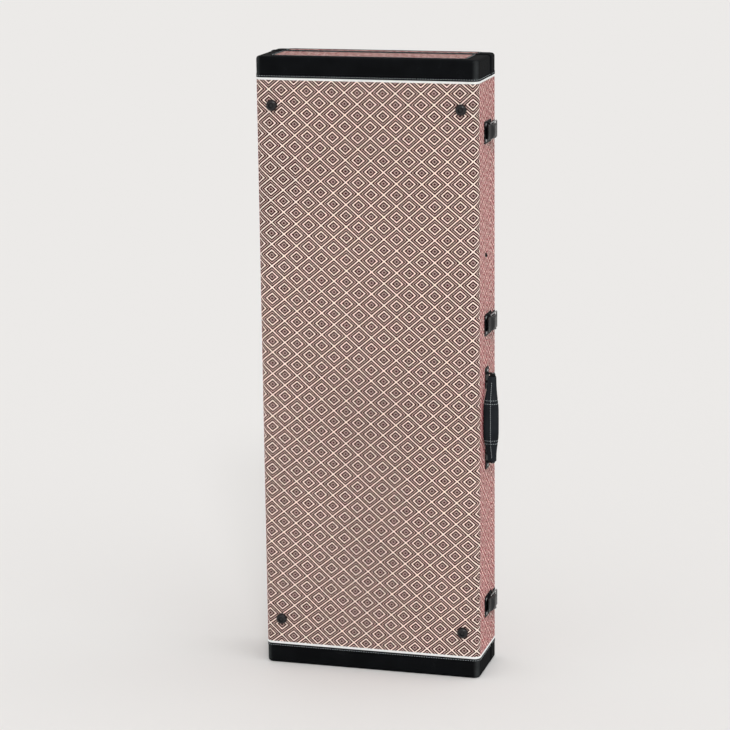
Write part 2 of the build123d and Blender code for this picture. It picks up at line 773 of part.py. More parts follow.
# Guitar rest: body cushions, neck cradle and headstock pad
x_fit = x_inside - soft_fit
z_fit = z_inside + soft_fit
y_fit = y_floor + soft_fit
box_left = x_fit - box_width
cushion_top = cushion_top_share * case_length
heel_height = heel_height_share * case_length
cradle_height = cradle_height_share * case_length
for side, name in ((-1, "left"), (1, "right")):
    bouts = [
        (side * width_share * case_width, height_share * case_length)
        for width_share, height_share in (lower_bout_share, waist_share, upper_bout_share)
    ]
    with BuildPart() as cushion:
        with BuildSketch(Plane((0, y_fit, 0), x_dir=(1, 0, 0), z_dir=(0, -1, 0))):
            with BuildLine():
                Spline(
                    (side * soft_fit, z_fit + cushion_foot),
                    *bouts,
                    (side * neck_half_width, heel_height),
                    tangents=[(side, 0), (-side, 0)],
                )
                Polyline(
                    (side * neck_half_width, heel_height),
                    (side * neck_half_width, cushion_top),
                    (side * x_fit, cushion_top),
                    (side * x_fit, z_fit),
                    (side * soft_fit, z_fit),
                    (side * soft_fit, z_fit + cushion_foot),
                )
            make_face()
        extrude(amount=-cushion_height)
    save(cushion, f"body_cushion_{name}")

with BuildPart() as neck_cradle:
    with BuildSketch(Plane.XY.offset(cradle_height - cradle_length / 2)):
        cradle_right = box_left - soft_fit
        with Locations(((cradle_right - x_fit) / 2, y_fit + cradle_rise / 2)):
            Rectangle(cradle_right + x_fit, cradle_rise)
        with Locations((0, y_fit + cradle_rise)):
            RectangleRounded(
                2 * neck_half_width, 2 * cradle_notch_depth, cradle_notch_depth / 2, mode=Mode.SUBTRACT
            )
    extrude(amount=cradle_length)
save(neck_cradle, "neck_cradle")

with BuildPart() as head_pad:
    with Locations((0, y_fit + head_pad_rise / 2, case_length - z_fit - head_pad_length / 2)):
        Box(2 * x_fit, head_pad_rise, head_pad_length)
    fillet(head_pad.edges().group_by(Axis.Y)[-1], cushion_edge_radius)
save(head_pad, "head_pad")

with BuildPart() as lid_cushion:
    y_pad = y_front - skin - panel_thickness - lining_thickness - soft_fit
    with Locations((0, y_pad - lid_cushion_thickness / 2, lid_cushion_height_share * case_length)):
        Box(
            case_width - 2 * lid_cushion_side_margin,
            lid_cushion_thickness,
            lid_cushion_length_share * case_length,
        )
    fillet(lid_cushion.edges().group_by(Axis.Y)[0], cushion_edge_radius)
save(lid_cushion, "lid_cushion")

# Accessory box beside the neck, with a lid that turns on two pins
y_box_top = y_fit + box_depth
side_wall_rise = box_depth - box_lid_thickness - box_lid_gap
x_box = box_left + box_width / 2
x_box_pin = box_left + box_width - box_lid_thickness / 2 - tab_thickness - 2 * box_lid_gap
y_box_pin = y_box_top - box_lid_thickness / 2
lid_board_length = box_length - 2 * box_wall - 2 * box_lid_gap
with BuildPart() as accessory_box:
    with Locations((x_box, y_fit + box_depth / 2, box_height)):
        Box(box_width, box_depth, box_length)
    with Locations((x_box, y_box_top, box_height)):
        inner_length = box_length - 2 * box_wall
        Box(box_width - 2 * box_wall, 2 * (box_depth - box_wall), inner_length, mode=Mode.SUBTRACT)
        lid_seat_depth = box_depth - side_wall_rise
        Box(2 * box_width, 2 * lid_seat_depth, inner_length, mode=Mode.SUBTRACT)
    with Locations((x_box_pin, y_box_pin, box_height)):
        pin_hole_length = lid_board_length + 2 * box_lid_gap + 2 * box_pin_grip
        Cylinder(box_pin_radius + hole_clearance, pin_hole_length, mode=Mode.SUBTRACT)
save(accessory_box, "accessory_box")

with BuildPart() as accessory_lid:
    with BuildSketch(Plane.XY.offset(box_height - lid_board_length / 2)):
        board_left = box_left + box_lid_gap
        with Locations(((board_left + x_box_pin) / 2, y_box_pin)):
            Rectangle(x_box_pin - board_left, box_lid_thickness)
        with Locations((x_box_pin, y_box_pin)):
            Circle(box_lid_thickness / 2)
    extrude(amount=lid_board_length)
    for end in (-1, 1):
        with Locations((x_box_pin, y_box_pin, box_height + end * lid_board_length / 2)):
            Cylinder(box_pin_radius, 2 * box_pin_grip, mode=Mode.SUBTRACT)
save(accessory_lid, "accessory_lid")

with BuildPart() as accessory_pins:
    for end in (-1, 1):
        z_middle = box_height + end * (lid_board_length + box_lid_gap) / 2
        with Locations((x_box_pin, y_box_pin, z_middle)):
            Cylinder(box_pin_radius, 2 * box_pin_grip + box_lid_gap)
save(accessory_pins, "accessory_pins")

with BuildPart() as accessory_tab:
    with Locations((box_left + tab_length / 2 + 2 * box_lid_gap, y_box_top + tab_thickness / 2, box_height)):
        Box(tab_length, tab_thickness, tab_width)
save(accessory_tab, "accessory_tab")
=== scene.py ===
"""Finishes an electric guitar case: woven cover, leather ends, hardware, handle, padded inside and a studio.

Lengths are in metres. +Z runs along the case, its back with the feet faces -Y, the lid faces +Y, and the
latches and the handle are on the +X wall.
"""

import json
import math

import bmesh
import bpy
from mathutils import Matrix, Vector, noise


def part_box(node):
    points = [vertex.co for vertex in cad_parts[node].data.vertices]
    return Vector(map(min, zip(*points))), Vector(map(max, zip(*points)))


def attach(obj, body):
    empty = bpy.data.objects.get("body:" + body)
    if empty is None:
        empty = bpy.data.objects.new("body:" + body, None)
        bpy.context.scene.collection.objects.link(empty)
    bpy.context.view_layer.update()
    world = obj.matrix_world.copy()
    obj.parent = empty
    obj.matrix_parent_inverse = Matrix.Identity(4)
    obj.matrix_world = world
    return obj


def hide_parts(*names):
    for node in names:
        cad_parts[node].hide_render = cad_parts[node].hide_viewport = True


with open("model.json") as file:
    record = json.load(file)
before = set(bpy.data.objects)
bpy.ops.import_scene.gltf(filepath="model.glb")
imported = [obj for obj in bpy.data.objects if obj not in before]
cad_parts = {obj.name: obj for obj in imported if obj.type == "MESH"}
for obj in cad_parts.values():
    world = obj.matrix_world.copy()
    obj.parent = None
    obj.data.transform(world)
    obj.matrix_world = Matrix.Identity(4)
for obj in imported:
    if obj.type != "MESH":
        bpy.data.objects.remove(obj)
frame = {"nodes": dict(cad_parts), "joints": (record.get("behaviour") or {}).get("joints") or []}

bl_info = {
    "name": "Guitar Case",
    "version": (1, 0, 0),
    "blender": (4, 5, 0),
    "location": "3D View > Sidebar > Guitar Case",
    "description": "Finishes an electric guitar case and sets up its studio",
    "category": "Object",
}

MM = 0.001
PLACES = ("lower", "middle", "upper")
HALVES = ("base", "lid")
ENDS = ("bottom", "top")

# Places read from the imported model
BASE_LOW, BASE_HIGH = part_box("base_fabric")
LID_LOW, LID_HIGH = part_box("lid_fabric")
X_WALL = BASE_HIGH.x
Y_BACK = BASE_LOW.y
Y_BASE_RIM = BASE_HIGH.y
Y_LID_RIM = LID_LOW.y
Y_FRONT = LID_HIGH.y
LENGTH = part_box("base_wrap_top")[1].z
WRAP_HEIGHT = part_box("base_wrap_bottom")[1].z
JOINTS = {joint["name"]: joint for joint in frame["joints"]}

# How the cloth was laid, counted in diamonds: where it starts, how its columns lean and how its rows bow
COLUMN_START = -0.109
COLUMN_LEAN = -0.22
COLUMN_BEND = 0.17
ROW_START = 0.385
ROW_TILT = 0.02
ROW_BOW = -0.109
ROW_TWIST = -0.03

# The leather handle, in degrees and in millimetres from its middle
HANDLE_FOLD = 7.0
HANDLE_END = 70.0
CROSS_SEAMS = (31.0, 36.5)

# Sockets of a Mix node that mixes colours
MIX_COLOURS = (6, 7)
MIX_RESULT = 2


class GuitarCaseSizes(bpy.types.PropertyGroup):
    """Sizes of the details that stand on the plain shell."""

    long_edge_radius: bpy.props.FloatProperty(
        name="Long edge radius",
        description="Rounding of the case's long edges",
        default=11 * MM,
        unit="LENGTH",
    )
    end_edge_radius: bpy.props.FloatProperty(
        name="End edge radius",
        description="Rounding of the edges round both ends",
        default=5 * MM,
        unit="LENGTH",
    )
    weave_width: bpy.props.FloatProperty(
        name="Diamond width",
        description="Width of one diamond of the woven cover",
        default=42.4 * MM,
        unit="LENGTH",
    )
    weave_height: bpy.props.FloatProperty(
        name="Diamond height",
        description="Height of one diamond of the woven cover",
        default=36.4 * MM,
        unit="LENGTH",
    )
    thread_width: bpy.props.FloatProperty(
        name="Thread width",
        description="Width of one thread of the woven cover",
        default=0.5 * MM,
        unit="LENGTH",
    )
    hem_width: bpy.props.FloatProperty(
        name="Hem width",
        description="Width of the turned leather beside the piping",
        default=6.0 * MM,
        unit="LENGTH",
    )
    hem_height: bpy.props.FloatProperty(
        name="Hem height",
        description="How far the turned leather stands proud",
        default=0.55 * MM,
        unit="LENGTH",
    )
    stitch_length: bpy.props.FloatProperty(
        name="Stitch length",
        description="Length of one stitch",
        default=2.5 * MM,
        unit="LENGTH",
    )
    stitch_pitch: bpy.props.FloatProperty(
        name="Stitch pitch",
        description="Distance from one stitch to the next",
        default=4.2 * MM,
        unit="LENGTH",
    )
    stitch_radius: bpy.props.FloatProperty(
        name="Thread radius",
        description="Radius of the sewing thread",
        default=0.45 * MM,
        unit="LENGTH",
    )


class GuitarCaseColours(bpy.types.PropertyGroup):
    """Colours of the case and of the studio, as linear values."""

    cream: bpy.props.FloatVectorProperty(
        name="Cream thread",
        description="Light threads of the cover",
        subtype="COLOR",
        size=3,
        default=(1.0, 0.82, 0.755),
    )
    brown: bpy.props.FloatVectorProperty(
        name="Brown thread",
        description="Dark threads of the cover",
        subtype="COLOR",
        size=3,
        default=(0.03, 0.001, 0.001),
    )
    mauve: bpy.props.FloatVectorProperty(
        name="Mauve thread",
        description="Threads at the middle of each diamond",
        subtype="COLOR",
        size=3,
        default=(0.50, 0.345, 0.32),
    )
    rose: bpy.props.FloatVectorProperty(
        name="Rose thread",
        description="Threads between the two cream lines",
        subtype="COLOR",
        size=3,
        default=(0.80, 0.56, 0.51),
    )
    leather: bpy.props.FloatVectorProperty(
        name="Leather",
        description="Leather cloth of the wraps and the handle",
        subtype="COLOR",
        size=3,
        default=(0.0036, 0.0042, 0.0050),
    )
    stitch: bpy.props.FloatVectorProperty(
        name="Sewing thread",
        description="Sewing thread of the leather",
        subtype="COLOR",
        size=3,
        default=(0.46, 0.51, 0.53),
    )
    piping: bpy.props.FloatVectorProperty(
        name="Piping",
        description="Piping between the cover and the leather",
        subtype="COLOR",
        size=3,
        default=(0.91, 0.93, 0.93),
    )
    hardware: bpy.props.FloatVectorProperty(
        name="Hardware",
        description="Blackened latches, hinges and handle brackets",
        subtype="COLOR",
        size=3,
        default=(0.012, 0.0125, 0.0135),
    )
    plush: bpy.props.FloatVectorProperty(
        name="Plush",
        description="Plush inside the case",
        subtype="COLOR",
        size=3,
        default=(0.012, 0.012, 0.014),
    )
    studio: bpy.props.FloatVectorProperty(
        name="Studio",
        description="Background, and the light that comes from all round",
        subtype="COLOR",
        size=3,
        default=(0.839, 0.823, 0.807),
    )
    floor: bpy.props.FloatVectorProperty(
        name="Floor",
        description="Floor under the case",
        subtype="COLOR",
        size=3,
        default=(0.839, 0.834, 0.829),
    )


def sizes():
    """The sizes that the user can change."""
    return bpy.context.scene.guitar_case_sizes


def colours():
    """The colours that the user can change."""
    return bpy.context.scene.guitar_case_colours


class Finish:
    """One node material, with short ways to add and join its nodes."""

    def __init__(self, name, colour, roughness, sockets=None):
        self.material = bpy.data.materials.new(name)
        self.material.use_nodes = True
        self.material.diffuse_color = (*colour, 1.0)
        self.tree = self.material.node_tree
        self.shader = self.tree.nodes["Principled BSDF"]
        self.shader.inputs["Base Color"].default_value = (*colour, 1.0)
        self.shader.inputs["Roughness"].default_value = roughness
        for socket, value in (sockets or {}).items():
            self.shader.inputs[socket].default_value = value
        self.place = self.add("TexCoord").outputs["Object"]

    def feed(self, socket, value):
        """Links a value that is another node's output, and sets any other."""
        if isinstance(value, bpy.types.NodeSocket):
            self.tree.links.new(value, socket)
        else:
            socket.default_value = value

    def add(self, kind, inputs=None, **settings):
        """A new node of a kind, with its settings and inputs."""
        node = self.tree.nodes.new("ShaderNode" + kind)
        for key, value in settings.items():
            setattr(node, key, value)
        for key, value in (inputs or {}).items():
            self.feed(node.inputs[key], value)
        return node

    def maths(self, operation, *values):
        """The result of one Math node."""
        node = self.add("Math", operation=operation)
        for socket, value in zip(node.inputs, values):
            self.feed(socket, value)
        return node.outputs[0]

    def parts(self):
        """The three numbers of the place on the case."""
        return self.add("SeparateXYZ", {0: self.place}).outputs

    def joined(self, x, y, z):
        """A vector of three numbers."""
        return self.add("CombineXYZ", {0: x, 1: y, 2: z}).outputs[0]

    def stretched(self, *scales):
        """The place on the case with each direction drawn out by its own scale."""
        drawn = [self.maths("MULTIPLY", part, scale) for part, scale in zip(self.parts(), scales)]
        return self.joined(*drawn)

    def stripes(self, scale, direction):
        """Even stripes across a direction, from 0 to 1."""
        inputs = {"Vector": self.place, "Scale": scale}
        return self.add("TexWave", inputs, bands_direction=direction).outputs["Fac"]

    def cloud(self, scale, detail=3.0, roughness=0.5, vector=None):
        """Soft noise from 0 to 1."""
        inputs = {"Vector": vector or self.place, "Scale": scale, "Detail": detail, "Roughness": roughness}
        return self.add("TexNoise", inputs).outputs["Fac"]

    def cells(self, scale, feature="F1"):
        """Distance in a pattern of cells."""
        inputs = {"Vector": self.place, "Scale": scale}
        return self.add("TexVoronoi", inputs, feature=feature).outputs["Distance"]

    def colour_bands(self, value, stops):
        """Plain bands of colour, each from its own place on."""
        node = self.add("ValToRGB", {"Fac": value})
        elements = node.color_ramp.elements
        node.color_ramp.interpolation = "CONSTANT"
        while len(elements) < len(stops):
            elements.new(1.0)
        for element, (place, colour) in zip(elements, stops):
            element.position = place
            element.color = (*colour, 1.0)
        return node.outputs["Color"]

    def curve(self, value, low, high, low_out, high_out):
        """A value moved from one range to another."""
        inputs = {0: value, 1: low, 2: high, 3: low_out, 4: high_out}
        return self.add("MapRange", inputs).outputs[0]

    def blend(self, share, first, second, mode="MIX"):
        """Two colours mixed by a share."""
        node = self.add("Mix", data_type="RGBA", blend_type=mode)
        self.feed(node.inputs[0], share)
        for index, colour in zip(MIX_COLOURS, (first, second)):
            linked = isinstance(colour, bpy.types.NodeSocket)
            self.feed(node.inputs[index], colour if linked else (*colour, 1.0))
        return node.outputs[MIX_RESULT]

    def relief(self, height, depth, strength=1.0, below=None):
        """Surface relief from a height."""
        inputs = {"Height": height, "Distance": depth, "Strength": strength}
        if below is not None:
            inputs["Normal"] = below
        return self.add("Bump", inputs).outputs[0]

    def done(self, colour=None, roughness=None, normal=None):
        """Links the results to the shader and gives the material."""
        for socket, value in (("Base Color", colour), ("Roughness", roughness), ("Normal", normal)):
            if value is not None:
                self.tree.links.new(value, self.shader.inputs[socket])
        return self.material


def made_once(build):
    """Keeps one material for each set of arguments."""
    kept = {}

    def get(*arguments):
        if arguments not in kept:
            kept[arguments] = build(*arguments)
        return kept[arguments]

    return get


# Materials
def scaled(colour, share):
    """A colour made darker or lighter."""
    return tuple(min(channel * share, 1.0) for channel in colour)


def unrolled(finish, half):
    """Distance along the cloth from the middle of the broad face, round the long edge and up the wall."""
    radius = sizes().long_edge_radius
    x, y, _ = finish.parts()
    depth = finish.maths("SUBTRACT", y, Y_BACK) if half == "base" else finish.maths("SUBTRACT", Y_FRONT, y)
    across = finish.maths("ABSOLUTE", x)
    corner = X_WALL - radius
    past_corner = finish.maths("MAXIMUM", finish.maths("SUBTRACT", across, corner), 0.0)
    before_wall = finish.maths("MAXIMUM", finish.maths("SUBTRACT", radius, depth), 0.0)
    turn = finish.maths("ARCTAN2", past_corner, before_wall)
    up_wall = finish.maths("MAXIMUM", finish.maths("SUBTRACT", depth, radius), 0.0)
    flat = finish.maths("MINIMUM", across, corner)
    length = finish.maths("ADD", finish.maths("MULTIPLY_ADD", turn, radius, flat), up_wall)
    return finish.maths("MULTIPLY", length, finish.maths("SIGN", x))


@made_once
def woven_cover(part):
    """Jacquard cloth of nested diamonds, woven thread by thread; part is base, lid or end."""
    tones = colours()
    sheen = {"Sheen Weight": 0.75, "Sheen Roughness": 0.2, "Sheen Tint": (1.0, 0.16, 0.22, 1.0)}
    finish = Finish("woven_cover_" + part, tones.mauve, 0.9, {"Specular IOR Level": 0.0, **sheen})
    x, y, z = finish.parts()
    if part == "end":
        along, up = x, y
    else:
        along, up = unrolled(finish, part), z
    thread = sizes().thread_width
    warp = finish.maths("DIVIDE", along, thread)
    weft = finish.maths("DIVIDE", up, thread)
    warp_number = finish.maths("FLOOR", warp)
    weft_number = finish.maths("FLOOR", weft)
    along = finish.maths("MULTIPLY", finish.maths("ADD", warp_number, 0.5), thread)
    up = finish.maths("MULTIPLY", finish.maths("ADD", weft_number, 0.5), thread)

    side = finish.maths("MINIMUM", finish.maths("DIVIDE", along, X_WALL), 1.0)
    side = finish.maths("MAXIMUM", side, -1.0)
    rise = finish.maths("DIVIDE", finish.maths("SUBTRACT", up, LENGTH / 2), LENGTH / 2)
    lean = finish.maths("MULTIPLY", rise, finish.maths("MULTIPLY_ADD", rise, COLUMN_BEND, COLUMN_LEAN))
    column = finish.maths("MULTIPLY_ADD", along, 1 / sizes().weave_width, COLUMN_START)
    column = finish.maths("ADD", column, lean)
    bow = finish.maths("MULTIPLY", side, finish.maths("MULTIPLY_ADD", side, ROW_BOW, ROW_TILT))
    twist = finish.maths("MULTIPLY", finish.maths("MULTIPLY", side, rise), ROW_TWIST)
    row = finish.maths("MULTIPLY_ADD", rise, LENGTH / 2 / sizes().weave_height, ROW_START)
    row = finish.maths("ADD", finish.maths("ADD", row, bow), twist)

    falling = finish.maths("FRACT", finish.maths("ADD", column, row))
    rising = finish.maths("FRACT", finish.maths("SUBTRACT", column, row))
    halves = [finish.maths("SUBTRACT", value, 0.5) for value in (falling, rising)]
    from_middle = [finish.maths("ABSOLUTE", value) for value in halves]
    nest = finish.maths("MULTIPLY", finish.maths("MAXIMUM", *from_middle), 2.0)

    # Where each ring of threads begins, from the middle of a diamond at 0 to its edge at 1
    brown, cream, mauve, rose = tones.brown, tones.cream, tones.mauve, tones.rose
    rings = [
        (0.0, brown),
        (0.116, mauve),
        (0.238, brown),
        (0.393, cream),
        (0.532, brown),
        (0.695, rose),
        (0.762, brown),
        (0.922, cream),
    ]
    pattern = finish.colour_bands(nest, rings)
    patchy = finish.curve(finish.cloud(110.0, 2.0), 0.35, 0.65, 0.0, 1.0)
    colour = finish.blend(patchy, pattern, finish.blend(1.0, pattern, (0.93, 1.0, 0.96), "MULTIPLY"))

    number = finish.joined(warp_number, weft_number, 0.0)
    speck = finish.add("TexWhiteNoise", {"Vector": number}).outputs["Value"]
    strand = finish.add("TexWhiteNoise", {"W": warp_number}, noise_dimensions="1D").outputs["Value"]
    faded = finish.cloud(3.2, 2.0)
    spotted = finish.curve(speck, 0, 1, 0.94, 1.12)
    light = finish.maths("ADD", spotted, finish.curve(strand, 0, 1, -0.04, 0.04))
    light = finish.maths("ADD", light, finish.curve(faded, 0.3, 0.7, -0.06, 0.06))
    colour = finish.blend(1.0, colour, finish.joined(light, light, light), "MULTIPLY")

    bead = finish.maths(
        "MULTIPLY",
        finish.maths("SINE", finish.maths("MULTIPLY", finish.maths("FRACT", warp), math.pi)),
        finish.maths("SINE", finish.maths("MULTIPLY", finish.maths("FRACT", weft), math.pi)),
    )
    raised = finish.maths("MULTIPLY", bead, finish.curve(speck, 0, 1, 0.6, 1.0))
    return finish.done(colour, None, finish.relief(raised, 0.15 * MM, 0.6))


def painted_edge_highlight(finish):
    """Painted highlight on the leather: a paler band, strongest in the middle of the rounded long edges."""
    radius = sizes().long_edge_radius
    x, y, _ = finish.parts()
    bends = []
    for value, end in ((x, X_WALL), (y, Y_FRONT)):
        past = finish.maths("SUBTRACT", finish.maths("ABSOLUTE", value), end - radius)
        bends.append(finish.maths("MAXIMUM", finish.maths("DIVIDE", past, radius), 0.0))
    bend = finish.maths("MULTIPLY", finish.maths("MULTIPLY", *bends), 2.0)
    uneven = finish.curve(finish.cloud(90.0), 0.3, 0.7, 0.6, 1.0)
    return finish.maths("MULTIPLY", finish.maths("POWER", bend, 2.0), uneven)


@made_once
def black_leather(part):
    """Grained leather cloth; part is wrap or grip, and the grip's is paler."""
    paler = 4.6
    tone = scaled(colours().leather, 1.0 if part == "wrap" else paler)
    coat = {"Coat Weight": 0.07, "Coat Roughness": 0.24}
    finish = Finish("black_leather_" + part, tone, 0.6, {"Specular IOR Level": 0.0, **coat})
    worn = finish.cloud(26.0, 4.0)
    pebble = finish.cells(900.0, "SMOOTH_F1")
    pores = finish.cells(2300.0)
    crease = finish.cloud(170.0, 5.0, 0.62)
    colour = finish.blend(finish.curve(worn, 0.35, 0.7, 0.0, 1.0), scaled(tone, 0.8), scaled(tone, 1.35))
    if part == "wrap":
        # Painted highlight: the wrap is blended towards a pale grey along the middle of its rounded long
        # edges
        colour = finish.blend(painted_edge_highlight(finish), colour, scaled(colours().stitch, 0.085))
    sunk = finish.maths("MULTIPLY", pebble, -1.0)
    height = finish.maths("ADD", sunk, finish.maths("MULTIPLY", pores, 0.25))
    grain = finish.relief(height, 0.12 * MM, 0.5)
    normal = finish.relief(crease, 0.3 * MM, 0.3, grain)
    finish.feed(finish.shader.inputs["Coat Normal"], normal)
    finish.feed(finish.shader.inputs["Coat Roughness"], finish.curve(worn, 0.3, 0.75, 0.2, 0.3))
    return finish.done(colour, None, normal)


@made_once
def sewing_thread():
    """Waxed thread with the twist of its strands."""
    tone = colours().stitch
    finish = Finish("sewing_thread", tone, 0.6, {"Specular IOR Level": 0.3})
    fuzz = finish.cloud(3000.0, 3.0)
    colour = finish.blend(fuzz, scaled(tone, 0.75), scaled(tone, 1.15))
    twist = finish.stripes(700.0, "DIAGONAL")
    return finish.done(colour, None, finish.relief(twist, 0.1 * MM, 0.6))


@made_once
def white_piping():
    """Vinyl piping, faintly wrinkled over its cord."""
    tone = colours().piping
    finish = Finish("white_piping", tone, 0.34, {"Specular IOR Level": 0.4})
    grey = finish.cloud(60.0, 4.0)
    colour = finish.blend(finish.curve(grey, 0.3, 0.8, 0.0, 1.0), tone, scaled(tone, 0.9))
    wrinkle = finish.relief(finish.cloud(420.0, 4.0, 0.6), 0.2 * MM, 0.4)
    return finish.done(colour, finish.curve(grey, 0.2, 0.9, 0.28, 0.42), wrinkle)


@made_once
def black_hardware(lacquer):
    """Blackened steel, finely scratched, under a share of lacquer."""
    tone = colours().hardware
    coat = {"Specular IOR Level": 0.0, "Coat Weight": lacquer, "Coat Roughness": 0.09}
    finish = Finish("black_hardware", tone, 0.5, coat)
    smear = finish.cloud(70.0, 5.0, 0.6)
    scratch = finish.cloud(1.0, 3.0, 0.7, finish.stretched(900.0, 900.0, 60.0))
    tint = finish.blend(smear, scaled(tone, 0.8), scaled(tone, 1.5))
    polish = finish.curve(finish.maths("ADD", smear, scratch), 0.6, 1.4, 0.06, 0.2)
    finish.feed(finish.shader.inputs["Coat Roughness"], polish)
    normal = finish.relief(scratch, 0.03 * MM, 0.35)
    finish.feed(finish.shader.inputs["Coat Normal"], normal)
    return finish.done(tint, None, normal)


@made_once
def dark_nickel():
    """Bright dark plating of rivets, pins and wire."""
    finish = Finish("dark_nickel", (0.26, 0.265, 0.27), 0.16, {"Metallic": 1.0})
    smear = finish.cloud(300.0, 4.0, 0.6)
    colour = finish.blend(smear, (0.17, 0.175, 0.18), (0.36, 0.365, 0.37))
    dull = finish.curve(smear, 0.3, 0.7, 0.1, 0.26)
    return finish.done(colour, dull, finish.relief(smear, 0.02 * MM, 0.3))


@made_once
def plated_steel():
    """Zinc-plated steel, clouded with handling."""
    finish = Finish("plated_steel", (0.30, 0.31, 0.32), 0.3, {"Metallic": 1.0})
    cloudy = finish.cloud(500.0, 4.0, 0.6)
    colour = finish.blend(cloudy, (0.2, 0.21, 0.22), (0.42, 0.43, 0.44))
    dull = finish.curve(cloudy, 0.2, 0.8, 0.2, 0.45)
    return finish.done(colour, dull, finish.relief(cloudy, 0.03 * MM, 0.4))


@made_once
def rubber_foot():
    """Glossy moulded rubber."""
    finish = Finish("rubber_foot", (0.006, 0.006, 0.0065), 0.2, {"Specular IOR Level": 0.4})
    dusty = finish.cloud(220.0, 5.0, 0.6)
    colour = finish.blend(dusty, (0.004, 0.004, 0.0045), (0.010, 0.010, 0.011))
    dull = finish.curve(dusty, 0.3, 0.8, 0.08, 0.2)
    return finish.done(colour, dull, finish.relief(dusty, 0.05 * MM, 0.3))


@made_once
def plush(kind):
    """Short plush with a nap that has been brushed both ways; kind is lining, foam or board."""
    tone = colours().plush
    nap_look = {"Specular IOR Level": 0.0, "Sheen Weight": 0.16, "Sheen Roughness": 0.5}
    finish = Finish("plush_" + kind, tone, 0.95, nap_look)
    nap = finish.cloud(34.0, 4.0, 0.55)
    fibre = finish.cloud(3600.0, 4.0, 0.75)
    tuft = finish.cells(1500.0)
    share = finish.maths("ADD", finish.maths("MULTIPLY", nap, 0.7), finish.maths("MULTIPLY", fibre, 0.3))
    colour = finish.blend(finish.curve(share, 0.35, 0.65, 0.0, 1.0), scaled(tone, 0.6), scaled(tone, 2.2))
    height = finish.maths("ADD", fibre, tuft)
    return finish.done(colour, None, finish.relief(height, 0.5 * MM, 0.6))


@made_once
def woven_ribbon():
    """Ribbed black ribbon."""
    finish = Finish("woven_ribbon", (0.02, 0.02, 0.021), 0.6, {"Sheen Weight": 0.2})
    rib = finish.stripes(400.0, "Z")
    colour = finish.blend(rib, (0.012, 0.012, 0.013), (0.035, 0.035, 0.037))
    return finish.done(colour, None, finish.relief(rib, 0.2 * MM, 0.6))


@made_once
def lip_plastic():
    """Extruded black plastic, lightly scuffed."""
    finish = Finish("lip_plastic", (0.02, 0.02, 0.02), 0.5)
    scuff = finish.cloud(240.0, 5.0, 0.65)
    colour = finish.blend(scuff, (0.014, 0.014, 0.014), (0.034, 0.034, 0.034))
    dull = finish.curve(scuff, 0.3, 0.8, 0.38, 0.6)
    return finish.done(colour, dull, finish.relief(scuff, 0.1 * MM, 0.3))


@made_once
def plywood(half):
    """Birch plywood: figured face and stacked plies, stained black beside the lip of the base."""
    ply_thickness = 1.3 * MM
    stain_width = 2 * MM
    finish = Finish("plywood_" + half, (0.50, 0.33, 0.18), 0.62)
    y = finish.parts()[1]
    grain = finish.cloud(1.0, 6.0, 0.65, finish.stretched(60.0, 60.0, 4.0))
    ply = finish.maths("FRACT", finish.maths("MULTIPLY", y, 1 / ply_thickness))
    colour = finish.blend(grain, (0.36, 0.21, 0.10), (0.62, 0.44, 0.26))
    shade = finish.curve(ply, 0.0, 1.0, 0.82, 1.0)
    colour = finish.blend(1.0, colour, finish.joined(shade, shade, shade), "MULTIPLY")
    lip_low, lip_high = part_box("base_lip")
    if half == "base":
        stained = finish.maths("GREATER_THAN", y, lip_low.y)
    else:
        stained = finish.maths("LESS_THAN", y, lip_high.y + stain_width)
    colour = finish.blend(stained, colour, finish.blend(grain, (0.008, 0.008, 0.009), (0.016, 0.015, 0.015)))
    return finish.done(colour, None, finish.relief(grain, 0.15 * MM, 0.3))


# Meshes
def dress(nodes, material):
    """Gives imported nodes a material."""
    for name in nodes:
        mesh = frame["nodes"][name].data
        mesh.materials.clear()
        mesh.materials.append(material)


def piece(name, bm, material, body, replaced=(), sharp_degrees=42.0):
    """A new piece from a mesh in the making, riding on its body."""
    mesh = bpy.data.meshes.new(name)
    bmesh.ops.recalc_face_normals(bm, faces=bm.faces)
    bm.to_mesh(mesh)
    bm.free()
    mesh.polygons.foreach_set("use_smooth", [True] * len(mesh.polygons))
    mesh.set_sharp_from_angle(angle=math.radians(sharp_degrees))
    mesh.materials.append(material)
    made = bpy.data.objects.new(name, mesh)
    bpy.context.scene.collection.objects.link(made)
    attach(made, body)
    if replaced:
        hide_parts(*replaced)
    return made


def girth(half, z, away, step=6 * MM, corner_steps=8):
    """Stations round one half at a height, from rim to rim across its broad face, as (place, out, across)."""
    face, rim, inward = (Y_BACK, Y_BASE_RIM, 1) if half == "base" else (Y_FRONT, Y_LID_RIM, -1)
    radius = sizes().long_edge_radius
    corner_x = X_WALL - radius
    corner_y = face + inward * radius
    wall = Vector((1, 0, 0))
    broad = Vector((0, -inward, 0))
    across = Vector((0, 0, away))
    stations = []

    def straight(x_start, y_start, x_end, y_end, outward):
        start, end = Vector((x_start, y_start, z)), Vector((x_end, y_end, z))
        count = max(1, round((end - start).length / step))
        stations.extend((start.lerp(end, index / count), outward, across) for index in range(count))

    def corner(centre_x, first, last):
        for index in range(corner_steps):
            angle = math.pi / 2 * index / corner_steps
            outward = first * math.cos(angle) + last * math.sin(angle)
            stations.append((Vector((centre_x, corner_y, z)) + outward * radius, outward, across))

    straight(X_WALL, rim, X_WALL, corner_y, wall)
    corner(corner_x, wall, broad)
    straight(corner_x, face, -corner_x, face, broad)
    corner(-corner_x, broad, -wall)
    straight(-X_WALL, corner_y, -X_WALL, rim, -wall)
    stations.append((Vector((-X_WALL, rim, z)), -wall, across))
    return stations


def band(bm, first, second):
    """A closed band of faces between two rings."""
    for index in range(len(first)):
        after = (index + 1) % len(first)
        bm.faces.new((first[index], first[after], second[after], second[index]))


